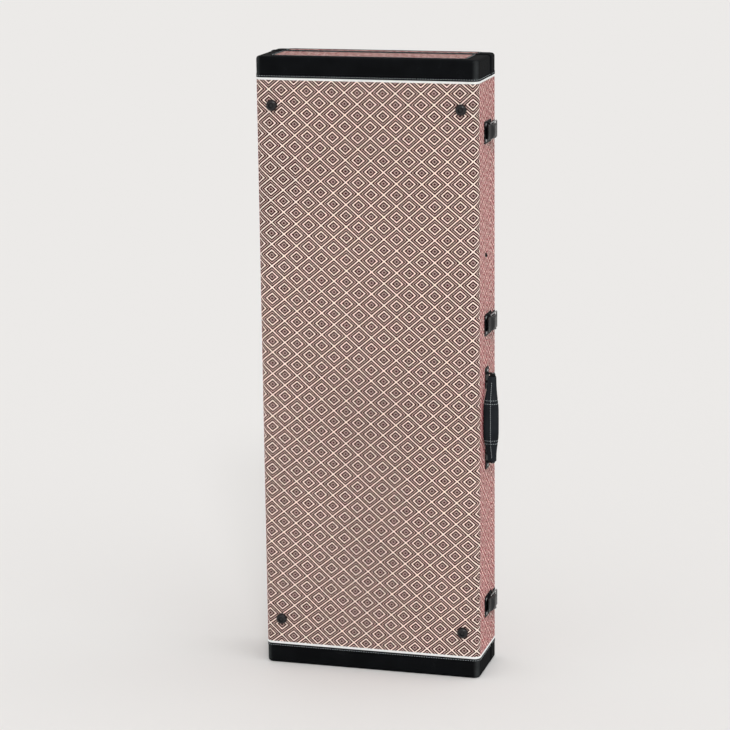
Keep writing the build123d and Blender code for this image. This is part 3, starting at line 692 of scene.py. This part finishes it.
def sweep(bm, stations, profile, closed=False):
    """Joins copies of a closed profile of (across, out) points, one at each (place, out, across) station."""
    rings = [
        [bm.verts.new(place + across * shift + outward * height) for shift, height in profile]
        for place, outward, across in stations
    ]
    for first, second in zip(rings, rings[1:]):
        band(bm, first, second)
    if closed:
        band(bm, rings[-1], rings[0])
    else:
        bm.faces.new(rings[0])
        bm.faces.new(rings[-1])


def stitch(bm, start, end, radius, sides=6):
    """One stitch: a short thread whose ends dip to a point."""
    axis = (end - start).normalized()
    side = axis.orthogonal().normalized()
    other = axis.cross(side)
    shares = ((0.12, 0.62), (0.5, 1.0), (0.88, 0.62))
    angles = [2 * math.pi * index / sides for index in range(sides)]
    ways = [side * math.cos(angle) + other * math.sin(angle) for angle in angles]
    rings = []
    for along, width in shares:
        centre = start.lerp(end, along)
        rings.append([bm.verts.new(centre + way * radius * width) for way in ways])
    tips = (bm.verts.new(start), bm.verts.new(end))
    for index in range(sides):
        after = (index + 1) % sides
        bm.faces.new((tips[0], rings[0][index], rings[0][after]))
        bm.faces.new((tips[1], rings[-1][after], rings[-1][index]))
        for first, second in zip(rings, rings[1:]):
            bm.faces.new((first[index], second[index], second[after], first[after]))


def walk(points, pitch):
    """Places at an even pitch along a line of points, each with the direction there."""
    goal = pitch / 2
    passed = 0.0
    found = []
    for start, end in zip(points, points[1:]):
        span = (end - start).length
        while span > 0 and passed + span >= goal:
            share = (goal - passed) / span
            found.append((start.lerp(end, share), (end - start) / span))
            goal += pitch
        passed += span
    return found


def sew(bm, points, length=None, pitch=None, radius=None):
    """A row of stitches along a line of points."""
    length = length or sizes().stitch_length
    for place, ahead in walk(points, pitch or sizes().stitch_pitch):
        stitch(bm, place - ahead * length / 2, place + ahead * length / 2, radius or sizes().stitch_radius)


# Pieces
def hem_profile(width, height):
    """A turned edge: two soft ridges with the seam pulled in between them, as (across, out) shares."""
    shares = (
        (0.0, -0.4),
        (0.0, 0.75),
        (0.07, 1.0),
        (0.26, 0.95),
        (0.38, 0.35),
        (0.44, 0.22),
        (0.50, 0.35),
        (0.62, 0.95),
        (0.85, 0.85),
        (0.97, 0.25),
        (1.0, -0.4),
    )
    return [(across * width, out * height) for across, out in shares]


def hem(name, stations, body, closed=False):
    """A turned leather edge along its stations, with a row of stitches in its groove."""
    width, height = sizes().hem_width, sizes().hem_height
    bm = bmesh.new()
    sweep(bm, stations, hem_profile(width, height), closed)
    piece(name, bm, black_leather("wrap"), body)
    groove = 0.44
    lift = height * 0.22 + sizes().stitch_radius * 0.55
    line = [place + across * width * groove + outward * lift for place, outward, across in stations]
    bm = bmesh.new()
    sew(bm, line + line[:1] if closed else line)
    piece(name + "_stitches", bm, sewing_thread(), body)


def border(low, high, z, radius=4 * MM, corner_steps=6):
    """Stations round a rounded rectangle on an end face; across leads away from its middle."""
    stations = []
    up = Vector((0, 0, 1))
    corners = ((high.x, high.y, 0), (low.x, high.y, 1), (low.x, low.y, 2), (high.x, low.y, 3))
    for x, y, quarter in corners:
        centre = Vector((x - math.copysign(radius, x), y - (radius if quarter < 2 else -radius), z))
        for index in range(corner_steps + 1):
            angle = math.pi / 2 * (quarter + index / corner_steps)
            across = Vector((math.cos(angle), math.sin(angle), 0))
            stations.append((centre + across * radius, up, across))
    return stations


def over_end(y, across, corner_steps=8):
    """Stations up one wall in the leather, over the top end and down the other wall."""
    radius = sizes().end_edge_radius
    side, up = Vector((1, 0, 0)), Vector((0, 0, 1))
    stations = [(Vector((X_WALL, y, LENGTH - WRAP_HEIGHT)), side, across)]
    for sign, first, last in ((1, side, up), (-1, up, -side)):
        centre = Vector((sign * (X_WALL - radius), y, LENGTH - radius))
        for index in range(corner_steps + 1):
            angle = math.pi / 2 * index / corner_steps
            outward = first * math.cos(angle) + last * math.sin(angle)
            stations.append((centre + outward * radius, outward, across))
    stations.append((Vector((-X_WALL, y, LENGTH - WRAP_HEIGHT)), -side, across))
    return stations


def rolled_profile(width, height, steps=8):
    """The section of a soft roll that lies on a surface, as (across, out)."""
    sink = 0.3 * MM
    fullness = 0.7
    points = [(0.0, -sink)]
    for index in range(steps + 1):
        angle = math.pi * (1 - index / steps)
        points.append((width * (0.5 + 0.5 * math.cos(angle)), height * math.sin(angle) ** fullness))
    return points + [(width, -sink)]


def make_rim_rolls(half):
    """Leather rolled over the rim at both ends of one half."""
    rim, inward = (Y_BASE_RIM, -1) if half == "base" else (Y_LID_RIM, 1)
    across = Vector((0, inward, 0))
    profile = rolled_profile(width=3.6 * MM, height=1.0 * MM)
    bm = bmesh.new()
    sweep(bm, over_end(rim, across), profile)
    for side in (1, -1):
        outward = Vector((side, 0, 0))
        foot = sizes().end_edge_radius
        stations = [(Vector((side * X_WALL, rim, z)), outward, across) for z in (foot, WRAP_HEIGHT)]
        sweep(bm, stations, profile)
    piece(f"{half}_rim_rolls", bm, black_leather("wrap"), half)


def make_rim_binding(half):
    """Thin leather turned over the edge of the boards, all round one half."""
    rim, lift = (Y_BASE_RIM, 0.3 * MM) if half == "base" else (Y_LID_RIM, -0.3 * MM)
    lining_low, lining_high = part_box(f"{half}_lining")
    clear = 0.4 * MM
    outer = [(-X_WALL, 0.0), (X_WALL, 0.0), (X_WALL, LENGTH), (-X_WALL, LENGTH)]
    inner = [
        (lining_low.x - clear, lining_low.z - clear),
        (lining_high.x + clear, lining_low.z - clear),
        (lining_high.x + clear, lining_high.z + clear),
        (lining_low.x - clear, lining_high.z + clear),
    ]
    inset = 0.8 * MM
    outer = [(x - math.copysign(inset, x), min(max(z, inset), LENGTH - inset)) for x, z in outer]
    bm = bmesh.new()
    rings = [[bm.verts.new((x, y, z)) for x, z in ring] for y in (rim, rim + lift) for ring in (outer, inner)]
    low_outer, low_inner, high_outer, high_inner = rings
    band(bm, low_outer, low_inner)
    band(bm, high_outer, high_inner)
    band(bm, low_outer, high_outer)
    band(bm, low_inner, high_inner)
    piece(f"{half}_rim_binding", bm, black_leather("wrap"), half)


class GUITARCASE_OT_cover(bpy.types.Operator):
    """Gives the shell its plywood and its woven cover"""

    bl_idname = "guitarcase.cover"
    bl_label = "Woven cover"

    def execute(self, context):
        boards = ("panel", "side_board_left", "side_board_right", "end_board_bottom", "end_board_top")
        for half in HALVES:
            dress([f"{half}_{part}" for part in boards], plywood(half))
            dress([f"{half}_fabric"], woven_cover(half))
            dress([f"{half}_end_fabric"], woven_cover("end"))
        return {"FINISHED"}


class GUITARCASE_OT_leather(bpy.types.Operator):
    """Adds the leather of both ends with its hems, stitches and piping"""

    bl_idname = "guitarcase.leather"
    bl_label = "Leather ends and piping"

    def execute(self, context):
        for half in HALVES:
            dress([f"{half}_wrap_{end}" for end in ENDS], black_leather("wrap"))
            dress([f"{half}_piping"], white_piping())
            hem(f"{half}_hem_bottom", girth(half, WRAP_HEIGHT, -1), half)
            hem(f"{half}_hem_top", girth(half, LENGTH - WRAP_HEIGHT, 1), half)
            patch_low, patch_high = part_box(f"{half}_end_fabric")
            hem(f"{half}_hem_border", border(patch_low, patch_high, LENGTH), half, closed=True)
            make_rim_rolls(half)
            make_rim_binding(half)
        return {"FINISHED"}


def make_crowned_lever(place):
    """One latch lever, pressed to a crown across its width and narrowed at its finger tip."""
    name = f"latch_lever_{place}"
    low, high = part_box(name)
    middle = (low.z + high.z) / 2
    half = (high.z - low.z) / 2
    crown = 2.6 * MM
    edge_drop = 2.4 * MM
    flat = high.x - 3.6 * MM
    tip = 10 * MM
    narrowing = 0.24
    pivot_end = 7 * MM
    fade = 12 * MM
    cuts = 18
    bm = bmesh.new()
    bm.from_mesh(frame["nodes"][name].data)
    for index in range(1, cuts):
        height = low.z + (high.z - low.z) * index / cuts
        everything = bm.verts[:] + bm.edges[:] + bm.faces[:]
        bmesh.ops.bisect_plane(bm, geom=everything, plane_co=(0, 0, height), plane_no=(0, 0, 1))
    for vert in bm.verts:
        share = (vert.co.z - middle) / half
        raised = min(max((vert.co.x - flat) / (high.x - flat), 0.0), 1.0)
        from_pivot = min(max((high.y - pivot_end - vert.co.y) / fade, 0.0), 1.0)
        vert.co.x += raised * from_pivot * (crown * (1 - share**2) - edge_drop * share**4)
        taper = min(max((low.y + tip - vert.co.y) / tip, 0.0), 1.0)
        vert.co.z = middle + (vert.co.z - middle) * (1 - narrowing * taper**2)
    piece(f"crowned_lever_{place}", bm, black_hardware(0.6), f"{place}_lever", [name], 35.0)


def make_domed_feet():
    """Four moulded feet with a rounded shoulder and a deep recess for the screw."""
    low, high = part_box("feet")
    height = high.y - low.y
    radius = 9.3 * MM
    rim = 1.0 * MM
    mouth = 4.2 * MM
    crest = mouth + 0.5 * MM
    floor_height = 3.4 * MM
    hole = 2.2 * MM
    shoulder_steps = 12
    turns = 48
    profile = [(radius, 0.0)]
    for index in range(shoulder_steps + 1):
        angle = math.pi / 2 * index / shoulder_steps
        profile.append((crest + (radius - crest) * math.cos(angle), rim + (height - rim) * math.sin(angle)))
    profile += [(mouth + 0.1 * MM, height - 0.15 * MM), (mouth, height - 0.6 * MM)]
    profile += [(mouth, floor_height), (hole, floor_height)]
    angles = [2 * math.pi * index / turns for index in range(turns)]
    bm = bmesh.new()
    for x in (low.x + radius, high.x - radius):
        for z in (low.z + radius, high.z - radius):
            rings = []
            for reach, rise in profile:
                ring = [(x + reach * math.cos(a), high.y - rise, z + reach * math.sin(a)) for a in angles]
                rings.append([bm.verts.new(place) for place in ring])
            for first, second in zip(rings, rings[1:] + rings[:1]):
                band(bm, first, second)
    piece("domed_feet", bm, rubber_foot(), "base", ["feet"], 40.0)


class GUITARCASE_OT_hardware(bpy.types.Operator):
    """Finishes the feet, hinges, latches and rivets"""

    bl_idname = "guitarcase.hardware"
    bl_label = "Feet, hinges and latches"

    def execute(self, context):
        make_domed_feet()
        dress(["foot_screws"], black_hardware(0.6))
        kinds = ("hinge_base_leaf", "hinge_lid_leaf", "latch_plate", "latch_keeper")
        stamped = [f"{kind}_{place}" for kind in kinds for place in PLACES]
        dress(stamped + ["handle_bracket_lower", "handle_bracket_upper", "side_stud"], black_hardware(0.2))
        bails = [f"latch_bail_{place}" for place in PLACES]
        turned = ["base_rivets", "lid_rivets", "hinge_pins", "latch_pivots", "handle_pins"]
        dress(bails + turned, dark_nickel())
        for place in PLACES:
            make_crowned_lever(place)
        return {"FINISHED"}


def handle_place(s, t, z):
    """A place given from the handle's hinge: s towards the grip, t away from the wall, z from its middle."""
    axis = Vector(JOINTS["handle_hinge"]["pos_m"])
    fold = math.radians(HANDLE_FOLD)
    along = Vector((math.sin(fold), -math.cos(fold), 0))
    outward = Vector((math.cos(fold), math.sin(fold), 0))
    return axis + along * s + outward * t + Vector((0, 0, z))


def handle_section(z):
    """Middle, half depth, half width and squareness of the leather handle at a distance from its middle."""
    stations = (
        (0.0, 25.0, 10.0, 12.6, 2.4),
        (20.0, 25.0, 9.9, 12.5, 2.4),
        (29.0, 24.8, 9.6, 12.0, 2.5),
        (36.0, 24.0, 8.9, 11.0, 2.8),
        (44.0, 21.0, 7.6, 9.6, 3.2),
        (52.0, 16.0, 6.2, 8.3, 3.8),
        (58.0, 12.0, 5.3, 7.5, 4.5),
        (64.0, 10.0, 4.9, 7.1, 5.5),
        (HANDLE_END, 9.7, 4.7, 7.0, 6.0),
    )
    distance = min(abs(z), stations[-1][0])
    for low, high in zip(stations, stations[1:]):
        if distance <= high[0]:
            share = (distance - low[0]) / (high[0] - low[0])
            return [a + (b - a) * share for a, b in zip(low[1:], high[1:])]
    return list(stations[-1][1:])


def handle_rim(z, angle, grow=0.0):
    """A place on the leather handle's skin; angle 0 faces away from the hinge."""
    middle, half_s, half_t, square = handle_section(z / MM)
    c, n = math.cos(angle), math.sin(angle)
    s = math.copysign(abs(c) ** (2 / square), c) * half_s
    t = math.copysign(abs(n) ** (2 / square), n) * half_t
    ridge = 1.1 * math.exp(-((angle / 0.11) ** 2))
    groove = 0.35 * math.exp(-(((abs(angle) - 0.24) / 0.08) ** 2))
    pulled = 0.0
    for seam in CROSS_SEAMS:
        pulled += 0.45 * math.exp(-((abs(z / MM) - seam) ** 2))
    reach = 1 + (ridge - groove - pulled + grow) / max(math.hypot(s, t), 1.0)
    return handle_place((middle + s * reach) * MM, t * reach * MM, z)


def make_handle_leather():
    """The leather sewn round the handle's core, with a ridge where its edges meet."""
    turns = 72
    count = 112
    end = HANDLE_END * MM
    angles = [math.pi * (2 * index / turns - 1) for index in range(turns)]
    bm = bmesh.new()
    rings = []
    for index in range(count + 1):
        z = end * (2 * index / count - 1)
        rings.append([bm.verts.new(handle_rim(z, angle)) for angle in angles])
    for first, second in zip(rings, rings[1:]):
        band(bm, first, second)
    for ring, sign in ((rings[0], -1), (rings[-1], 1)):
        centre = handle_place(handle_section(end / MM)[0] * MM, 0, sign * end)
        bulge = Vector((0, 0, sign * 0.9 * MM))
        inner = [bm.verts.new(centre.lerp(vert.co, 0.86) + bulge) for vert in ring]
        band(bm, ring, inner)
        bm.faces.new(inner)
    piece("handle_leather", bm, black_leather("grip"), "handle", ["handle_grip"], 60.0)

    bm = bmesh.new()
    steps = 120
    bare = 4
    proud = 0.05
    radius = 0.42 * MM
    along = [index * 2 / steps - 1 for index in range(steps + 1)]
    line = [handle_rim(end * share, 0.0, proud) for share in along[bare:-bare]]
    sew(bm, line, 2.6 * MM, 3.6 * MM, radius)
    for seam in sorted(side * place for place in CROSS_SEAMS for side in (-1, 1)):
        line = [handle_rim(seam * MM, math.pi * share, proud) for share in along]
        sew(bm, line, 3.0 * MM, 3.9 * MM, radius)
    piece("handle_stitches", bm, sewing_thread(), "handle")


class GUITARCASE_OT_handle(bpy.types.Operator):
    """Adds the leather handle over its steel core"""

    bl_idname = "guitarcase.handle"
    bl_label = "Handle"

    def execute(self, context):
        dress(["handle_core"], black_hardware(0.2))
        make_handle_leather()
        return {"FINISHED"}


def box_sides(low, high, step, left_out):
    """Grids on the sides of a box but one, as faces over shared places; left_out is its (axis, sign)."""
    counts = [max(2, round((high[axis] - low[axis]) / step)) for axis in range(3)]

    def place(indices):
        spans = zip(low, high, indices, counts)
        return Vector([start + (end - start) * index / count for start, end, index, count in spans])

    for axis in range(3):
        first, second = [other for other in range(3) if other != axis]
        for sign in (-1, 1):
            if (axis, sign) == left_out:
                continue
            level = 0 if sign < 0 else counts[axis]
            for i in range(counts[first]):
                for j in range(counts[second]):
                    corners = []
                    for a, b in ((0, 0), (1, 0), (1, 1), (0, 1)):
                        indices = [level] * 3
                        indices[first], indices[second] = i + a, j + b
                        corners.append(tuple(indices))
                    yield [(corner, place(corner)) for corner in corners]


def make_tray(half):
    """A plush skin inside one half, rounded where its sides meet and uneven as glued cloth is."""
    node = f"{half}_lining"
    low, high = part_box(node)
    thickness = 2.6 * MM
    skin = 1.6 * MM
    radius = 6 * MM
    gap = 0.3 * MM
    dents = ((0.3 * MM, 28), (0.15 * MM, 90))
    inner_low, inner_high = low + Vector([thickness] * 3), high - Vector([thickness] * 3)
    if half == "base":
        inner_high.y, left_out = high.y, (1, 1)
    else:
        inner_low.y, left_out = low.y, (1, -1)
    round_low, round_high = inner_low + Vector([radius] * 3), inner_high - Vector([radius] * 3)
    if half == "base":
        round_high.y = inner_high.y
    else:
        round_low.y = inner_low.y
    bm = bmesh.new()
    kept = {}
    for corners in box_sides(inner_low, inner_high, 9 * MM, left_out):
        face = []
        for key, place in corners:
            if key not in kept:
                middle = Vector([min(max(place[a], round_low[a]), round_high[a]) for a in range(3)])
                away = (place - middle).normalized()
                uneven = sum(depth * noise.noise(place * scale) for depth, scale in dents)
                kept[key] = bm.verts.new(middle + away * (radius - gap + uneven))
            face.append(kept[key])
        bm.faces.new(face)
    bmesh.ops.recalc_face_normals(bm, faces=bm.faces)
    bmesh.ops.solidify(bm, geom=bm.faces, thickness=-skin)
    piece(f"{half}_plush_tray", bm, plush("lining"), half, [node], 60.0)


def packed_copy(name, node):
    """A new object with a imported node's mesh."""
    made = bpy.data.objects.new(name, frame["nodes"][node].data.copy())
    bpy.context.scene.collection.objects.link(made)
    return made


def settled_mesh(made):
    """The mesh of an object with all its modifiers taken up."""
    depsgraph = bpy.context.evaluated_depsgraph_get()
    depsgraph.update()
    mesh = bpy.data.meshes.new_from_object(made.evaluated_get(depsgraph))
    made.modifiers.clear()
    made.data = mesh


def add_cloth(soft, frames):
    """Cloth under an inner pressure, without gravity."""
    cloth = soft.modifiers.new("cloth", "CLOTH")
    cloth.settings.use_pressure = True
    cloth.settings.uniform_pressure_force = 4.0
    cloth.settings.quality = 4
    cloth.settings.effector_weights.gravity = 0.0
    cloth.point_cache.frame_end = frames


def make_cushions(wanted):
    """Foam pieces under plush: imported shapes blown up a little, then held inside their own room."""
    scene = bpy.context.scene
    voxel = 5.5 * MM
    shrink = 1.6 * MM
    frames = 20
    made = {}
    for name, (node, _) in wanted.items():
        soft = packed_copy(name, node)
        remesh = soft.modifiers.new("remesh", "REMESH")
        remesh.mode = "VOXEL"
        remesh.voxel_size = voxel
        settled_mesh(soft)
        vertices = soft.data.vertices
        moved = [vert.co - vert.normal * shrink for vert in vertices]
        for vert, place in zip(vertices, moved):
            vert.co = place
        made[name] = (soft, [vert.co.copy() for vert in vertices])
        add_cloth(soft, frames)
    for number in range(1, frames + 1):
        scene.frame_set(number)
    for name, (node, reach) in wanted.items():
        soft, start = made[name]
        settled_mesh(soft)
        low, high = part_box(node)
        for vert, first in zip(soft.data.vertices, start):
            step = vert.co - first
            if step.length > reach:
                step = step.normalized() * reach
            place = first + step
            vert.co = [min(max(place[axis], low[axis]), high[axis]) for axis in range(3)]
    scene.frame_set(1)
    everywhere = {"use_axis_x": True, "use_axis_y": True, "use_axis_z": True}
    for name, (node, _) in wanted.items():
        soft = made[name][0]
        bm = bmesh.new()
        bm.from_mesh(soft.data)
        bmesh.ops.smooth_vert(bm, verts=bm.verts, factor=0.5, **everywhere)
        bmesh.ops.subdivide_edges(bm, edges=bm.edges, cuts=1, use_grid_fill=True, smooth=0.6)
        bpy.data.objects.remove(soft)
        body = "lid" if node.startswith("lid") else "base"
        piece(name, bm, plush("foam"), body, [node], 75.0)


def make_pull_tab():
    """A ribbon folded over into a loop, glued on the accessory lid."""
    low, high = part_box("accessory_tab")
    sheet = 0.4 * MM
    glued = low.y + 0.25 * MM
    fold_depth = 1.2 * MM
    fold_height = 0.7 * MM
    fold_x = low.x + 1.5 * MM
    fold_y = glued + fold_height
    fold_steps = 8
    steps = 12
    line = [(high.x, glued), (low.x + 4 * MM, glued)]
    for index in range(fold_steps + 1):
        angle = math.pi * (index / fold_steps - 0.5)
        line.append((fold_x - fold_depth * math.cos(angle), fold_y + fold_height * math.sin(angle)))
    for back, rise in ((5, 1.4), (8, 0.9)):
        line.append((low.x + back * MM, low.y + rise * MM))
    line.append((high.x, low.y + 0.85 * MM))
    bm = bmesh.new()
    grid = []
    for x, y in line:
        row = []
        for index in range(steps + 1):
            z = low.z + (high.z - low.z) * index / steps
            ripple = 0.08 * MM * noise.noise(Vector((x, y, z)) * 300)
            row.append(bm.verts.new((x, y + ripple, z)))
        grid.append(row)
    for first, second in zip(grid, grid[1:]):
        for index in range(steps):
            bm.faces.new((first[index], first[index + 1], second[index + 1], second[index]))
    bmesh.ops.recalc_face_normals(bm, faces=bm.faces)
    bmesh.ops.solidify(bm, geom=bm.faces, thickness=sheet)
    piece("pull_tab", bm, woven_ribbon(), "accessory_cover", ["accessory_tab"], 60.0)


class GUITARCASE_OT_lining(bpy.types.Operator):
    """Adds the plush lining, the cushions and the accessory box"""

    bl_idname = "guitarcase.lining"
    bl_label = "Lining and cushions"

    def execute(self, context):
        for half in HALVES:
            make_tray(half)
        make_cushions(
            {
                "left_body_cushion": ("body_cushion_left", 5 * MM),
                "right_body_cushion": ("body_cushion_right", 5 * MM),
                "neck_rest": ("neck_cradle", 4 * MM),
                "headstock_pad": ("head_pad", 5 * MM),
                "lid_pad": ("lid_cushion", 5 * MM),
            }
        )
        dress(["base_lip"], lip_plastic())
        dress(["accessory_box", "accessory_lid"], plush("board"))
        dress(["accessory_pins"], plated_steel())
        make_pull_tab()
        return {"FINISHED"}


# Studio
def sun(name, strength, angle_degrees, azimuth, elevation):
    """A sun whose light comes from an azimuth, 0 being in front of the back and 90 to the right of it."""
    light = bpy.data.lights.new(name, "SUN")
    light.energy = strength
    light.angle = math.radians(angle_degrees)
    lamp = bpy.data.objects.new(name, light)
    a, e = math.radians(azimuth), math.radians(elevation)
    toward = Vector((math.sin(a) * math.cos(e), -math.cos(a) * math.cos(e), math.sin(e)))
    lamp.rotation_mode = "QUATERNION"
    lamp.rotation_quaternion = toward.to_track_quat("Z", "Y")
    bpy.context.scene.collection.objects.link(lamp)


def make_world(fill):
    """A plain background that shows as it is, and lights matt surfaces more weakly."""
    world = bpy.data.worlds.new("studio")
    bpy.context.scene.world = world
    world.use_nodes = True
    tree = world.node_tree
    background = tree.nodes["Background"]
    background.inputs["Color"].default_value = (*colours().studio, 1.0)
    path = tree.nodes.new("ShaderNodeLightPath")
    seen = path.outputs["Is Camera Ray"]
    for ray in ("Is Glossy Ray", "Is Transmission Ray"):
        either = tree.nodes.new("ShaderNodeMath")
        either.operation = "MAXIMUM"
        tree.links.new(seen, either.inputs[0])
        tree.links.new(path.outputs[ray], either.inputs[1])
        seen = either.outputs[0]
    strength = tree.nodes.new("ShaderNodeMapRange")
    strength.inputs["To Min"].default_value = fill
    strength.inputs["To Max"].default_value = 1.0
    tree.links.new(seen, strength.inputs["Value"])
    tree.links.new(strength.outputs[0], background.inputs["Strength"])


def make_floor():
    """Plain paper that the case stands on."""
    half_size = 60.0
    bm = bmesh.new()
    bmesh.ops.create_grid(bm, x_segments=1, y_segments=1, size=half_size)
    mesh = bpy.data.meshes.new("floor")
    bm.to_mesh(mesh)
    bm.free()
    mesh.materials.append(Finish("studio_floor", colours().floor, 0.9, {"Specular IOR Level": 0.0}).material)
    floor = bpy.data.objects.new("floor", mesh)
    bpy.context.scene.collection.objects.link(floor)


def make_camera():
    """The camera: it stands to the right of the back, a little above the case, and looks down on it."""
    data = bpy.data.cameras.new("camera")
    data.sensor_width = 36.0
    data.lens = 127.97
    data.clip_end = 100.0
    camera = bpy.data.objects.new("camera", data)
    place = Vector((1.1287, -4.0494, 1.4873))
    turn_degrees = Vector((-13.048, -1.137, 15.739))
    turn = Matrix.Rotation(math.radians(turn_degrees.length), 4, turn_degrees.normalized())
    facing_case = Matrix.Rotation(math.pi / 2, 4, "X")
    camera.matrix_world = Matrix.Translation(place) @ turn @ facing_case
    bpy.context.scene.collection.objects.link(camera)
    bpy.context.scene.camera = camera


class GUITARCASE_OT_stage(bpy.types.Operator):
    """Sets up the floor, the light and the camera"""

    bl_idname = "guitarcase.stage"
    bl_label = "Studio and camera"

    def execute(self, context):
        make_floor()
        make_world(fill=0.83)
        sun("front", strength=0.76, angle_degrees=12.0, azimuth=19.0, elevation=38.0)
        sun("side", strength=0.57, angle_degrees=60.0, azimuth=75.0, elevation=58.0)
        make_camera()
        context.scene.view_settings.view_transform = "Standard"
        return {"FINISHED"}


class GUITARCASE_PT_panel(bpy.types.Panel):
    """Lists the steps that finish the case"""

    bl_idname = "GUITARCASE_PT_panel"
    bl_label = "Guitar Case"
    bl_space_type = "VIEW_3D"
    bl_region_type = "UI"
    bl_category = "Guitar Case"

    def draw(self, context):
        """Shows a button for each step, then the sizes and the colours."""
        column = self.layout.column(align=True)
        for operator in OPERATORS:
            column.operator(operator.bl_idname)
        for group in (context.scene.guitar_case_sizes, context.scene.guitar_case_colours):
            box = self.layout.box()
            for name in group.__annotations__:
                box.prop(group, name)


OPERATORS = (
    GUITARCASE_OT_cover,
    GUITARCASE_OT_leather,
    GUITARCASE_OT_hardware,
    GUITARCASE_OT_handle,
    GUITARCASE_OT_lining,
    GUITARCASE_OT_stage,
)
CLASSES = (GuitarCaseSizes, GuitarCaseColours, *OPERATORS, GUITARCASE_PT_panel)


def register():
    """Makes the classes known and hangs both groups of settings on the scene."""
    for kind in CLASSES:
        bpy.utils.register_class(kind)
    bpy.types.Scene.guitar_case_sizes = bpy.props.PointerProperty(type=GuitarCaseSizes)
    bpy.types.Scene.guitar_case_colours = bpy.props.PointerProperty(type=GuitarCaseColours)


def unregister():
    """Takes back what register did."""
    del bpy.types.Scene.guitar_case_colours
    del bpy.types.Scene.guitar_case_sizes
    for kind in reversed(CLASSES):
        bpy.utils.unregister_class(kind)


def main():
    """Runs every step in order."""
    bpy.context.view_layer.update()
    register()
    for operator in OPERATORS:
        family, name = operator.bl_idname.split(".")
        getattr(getattr(bpy.ops, family), name)()


if __name__ == "__main__":
    main()
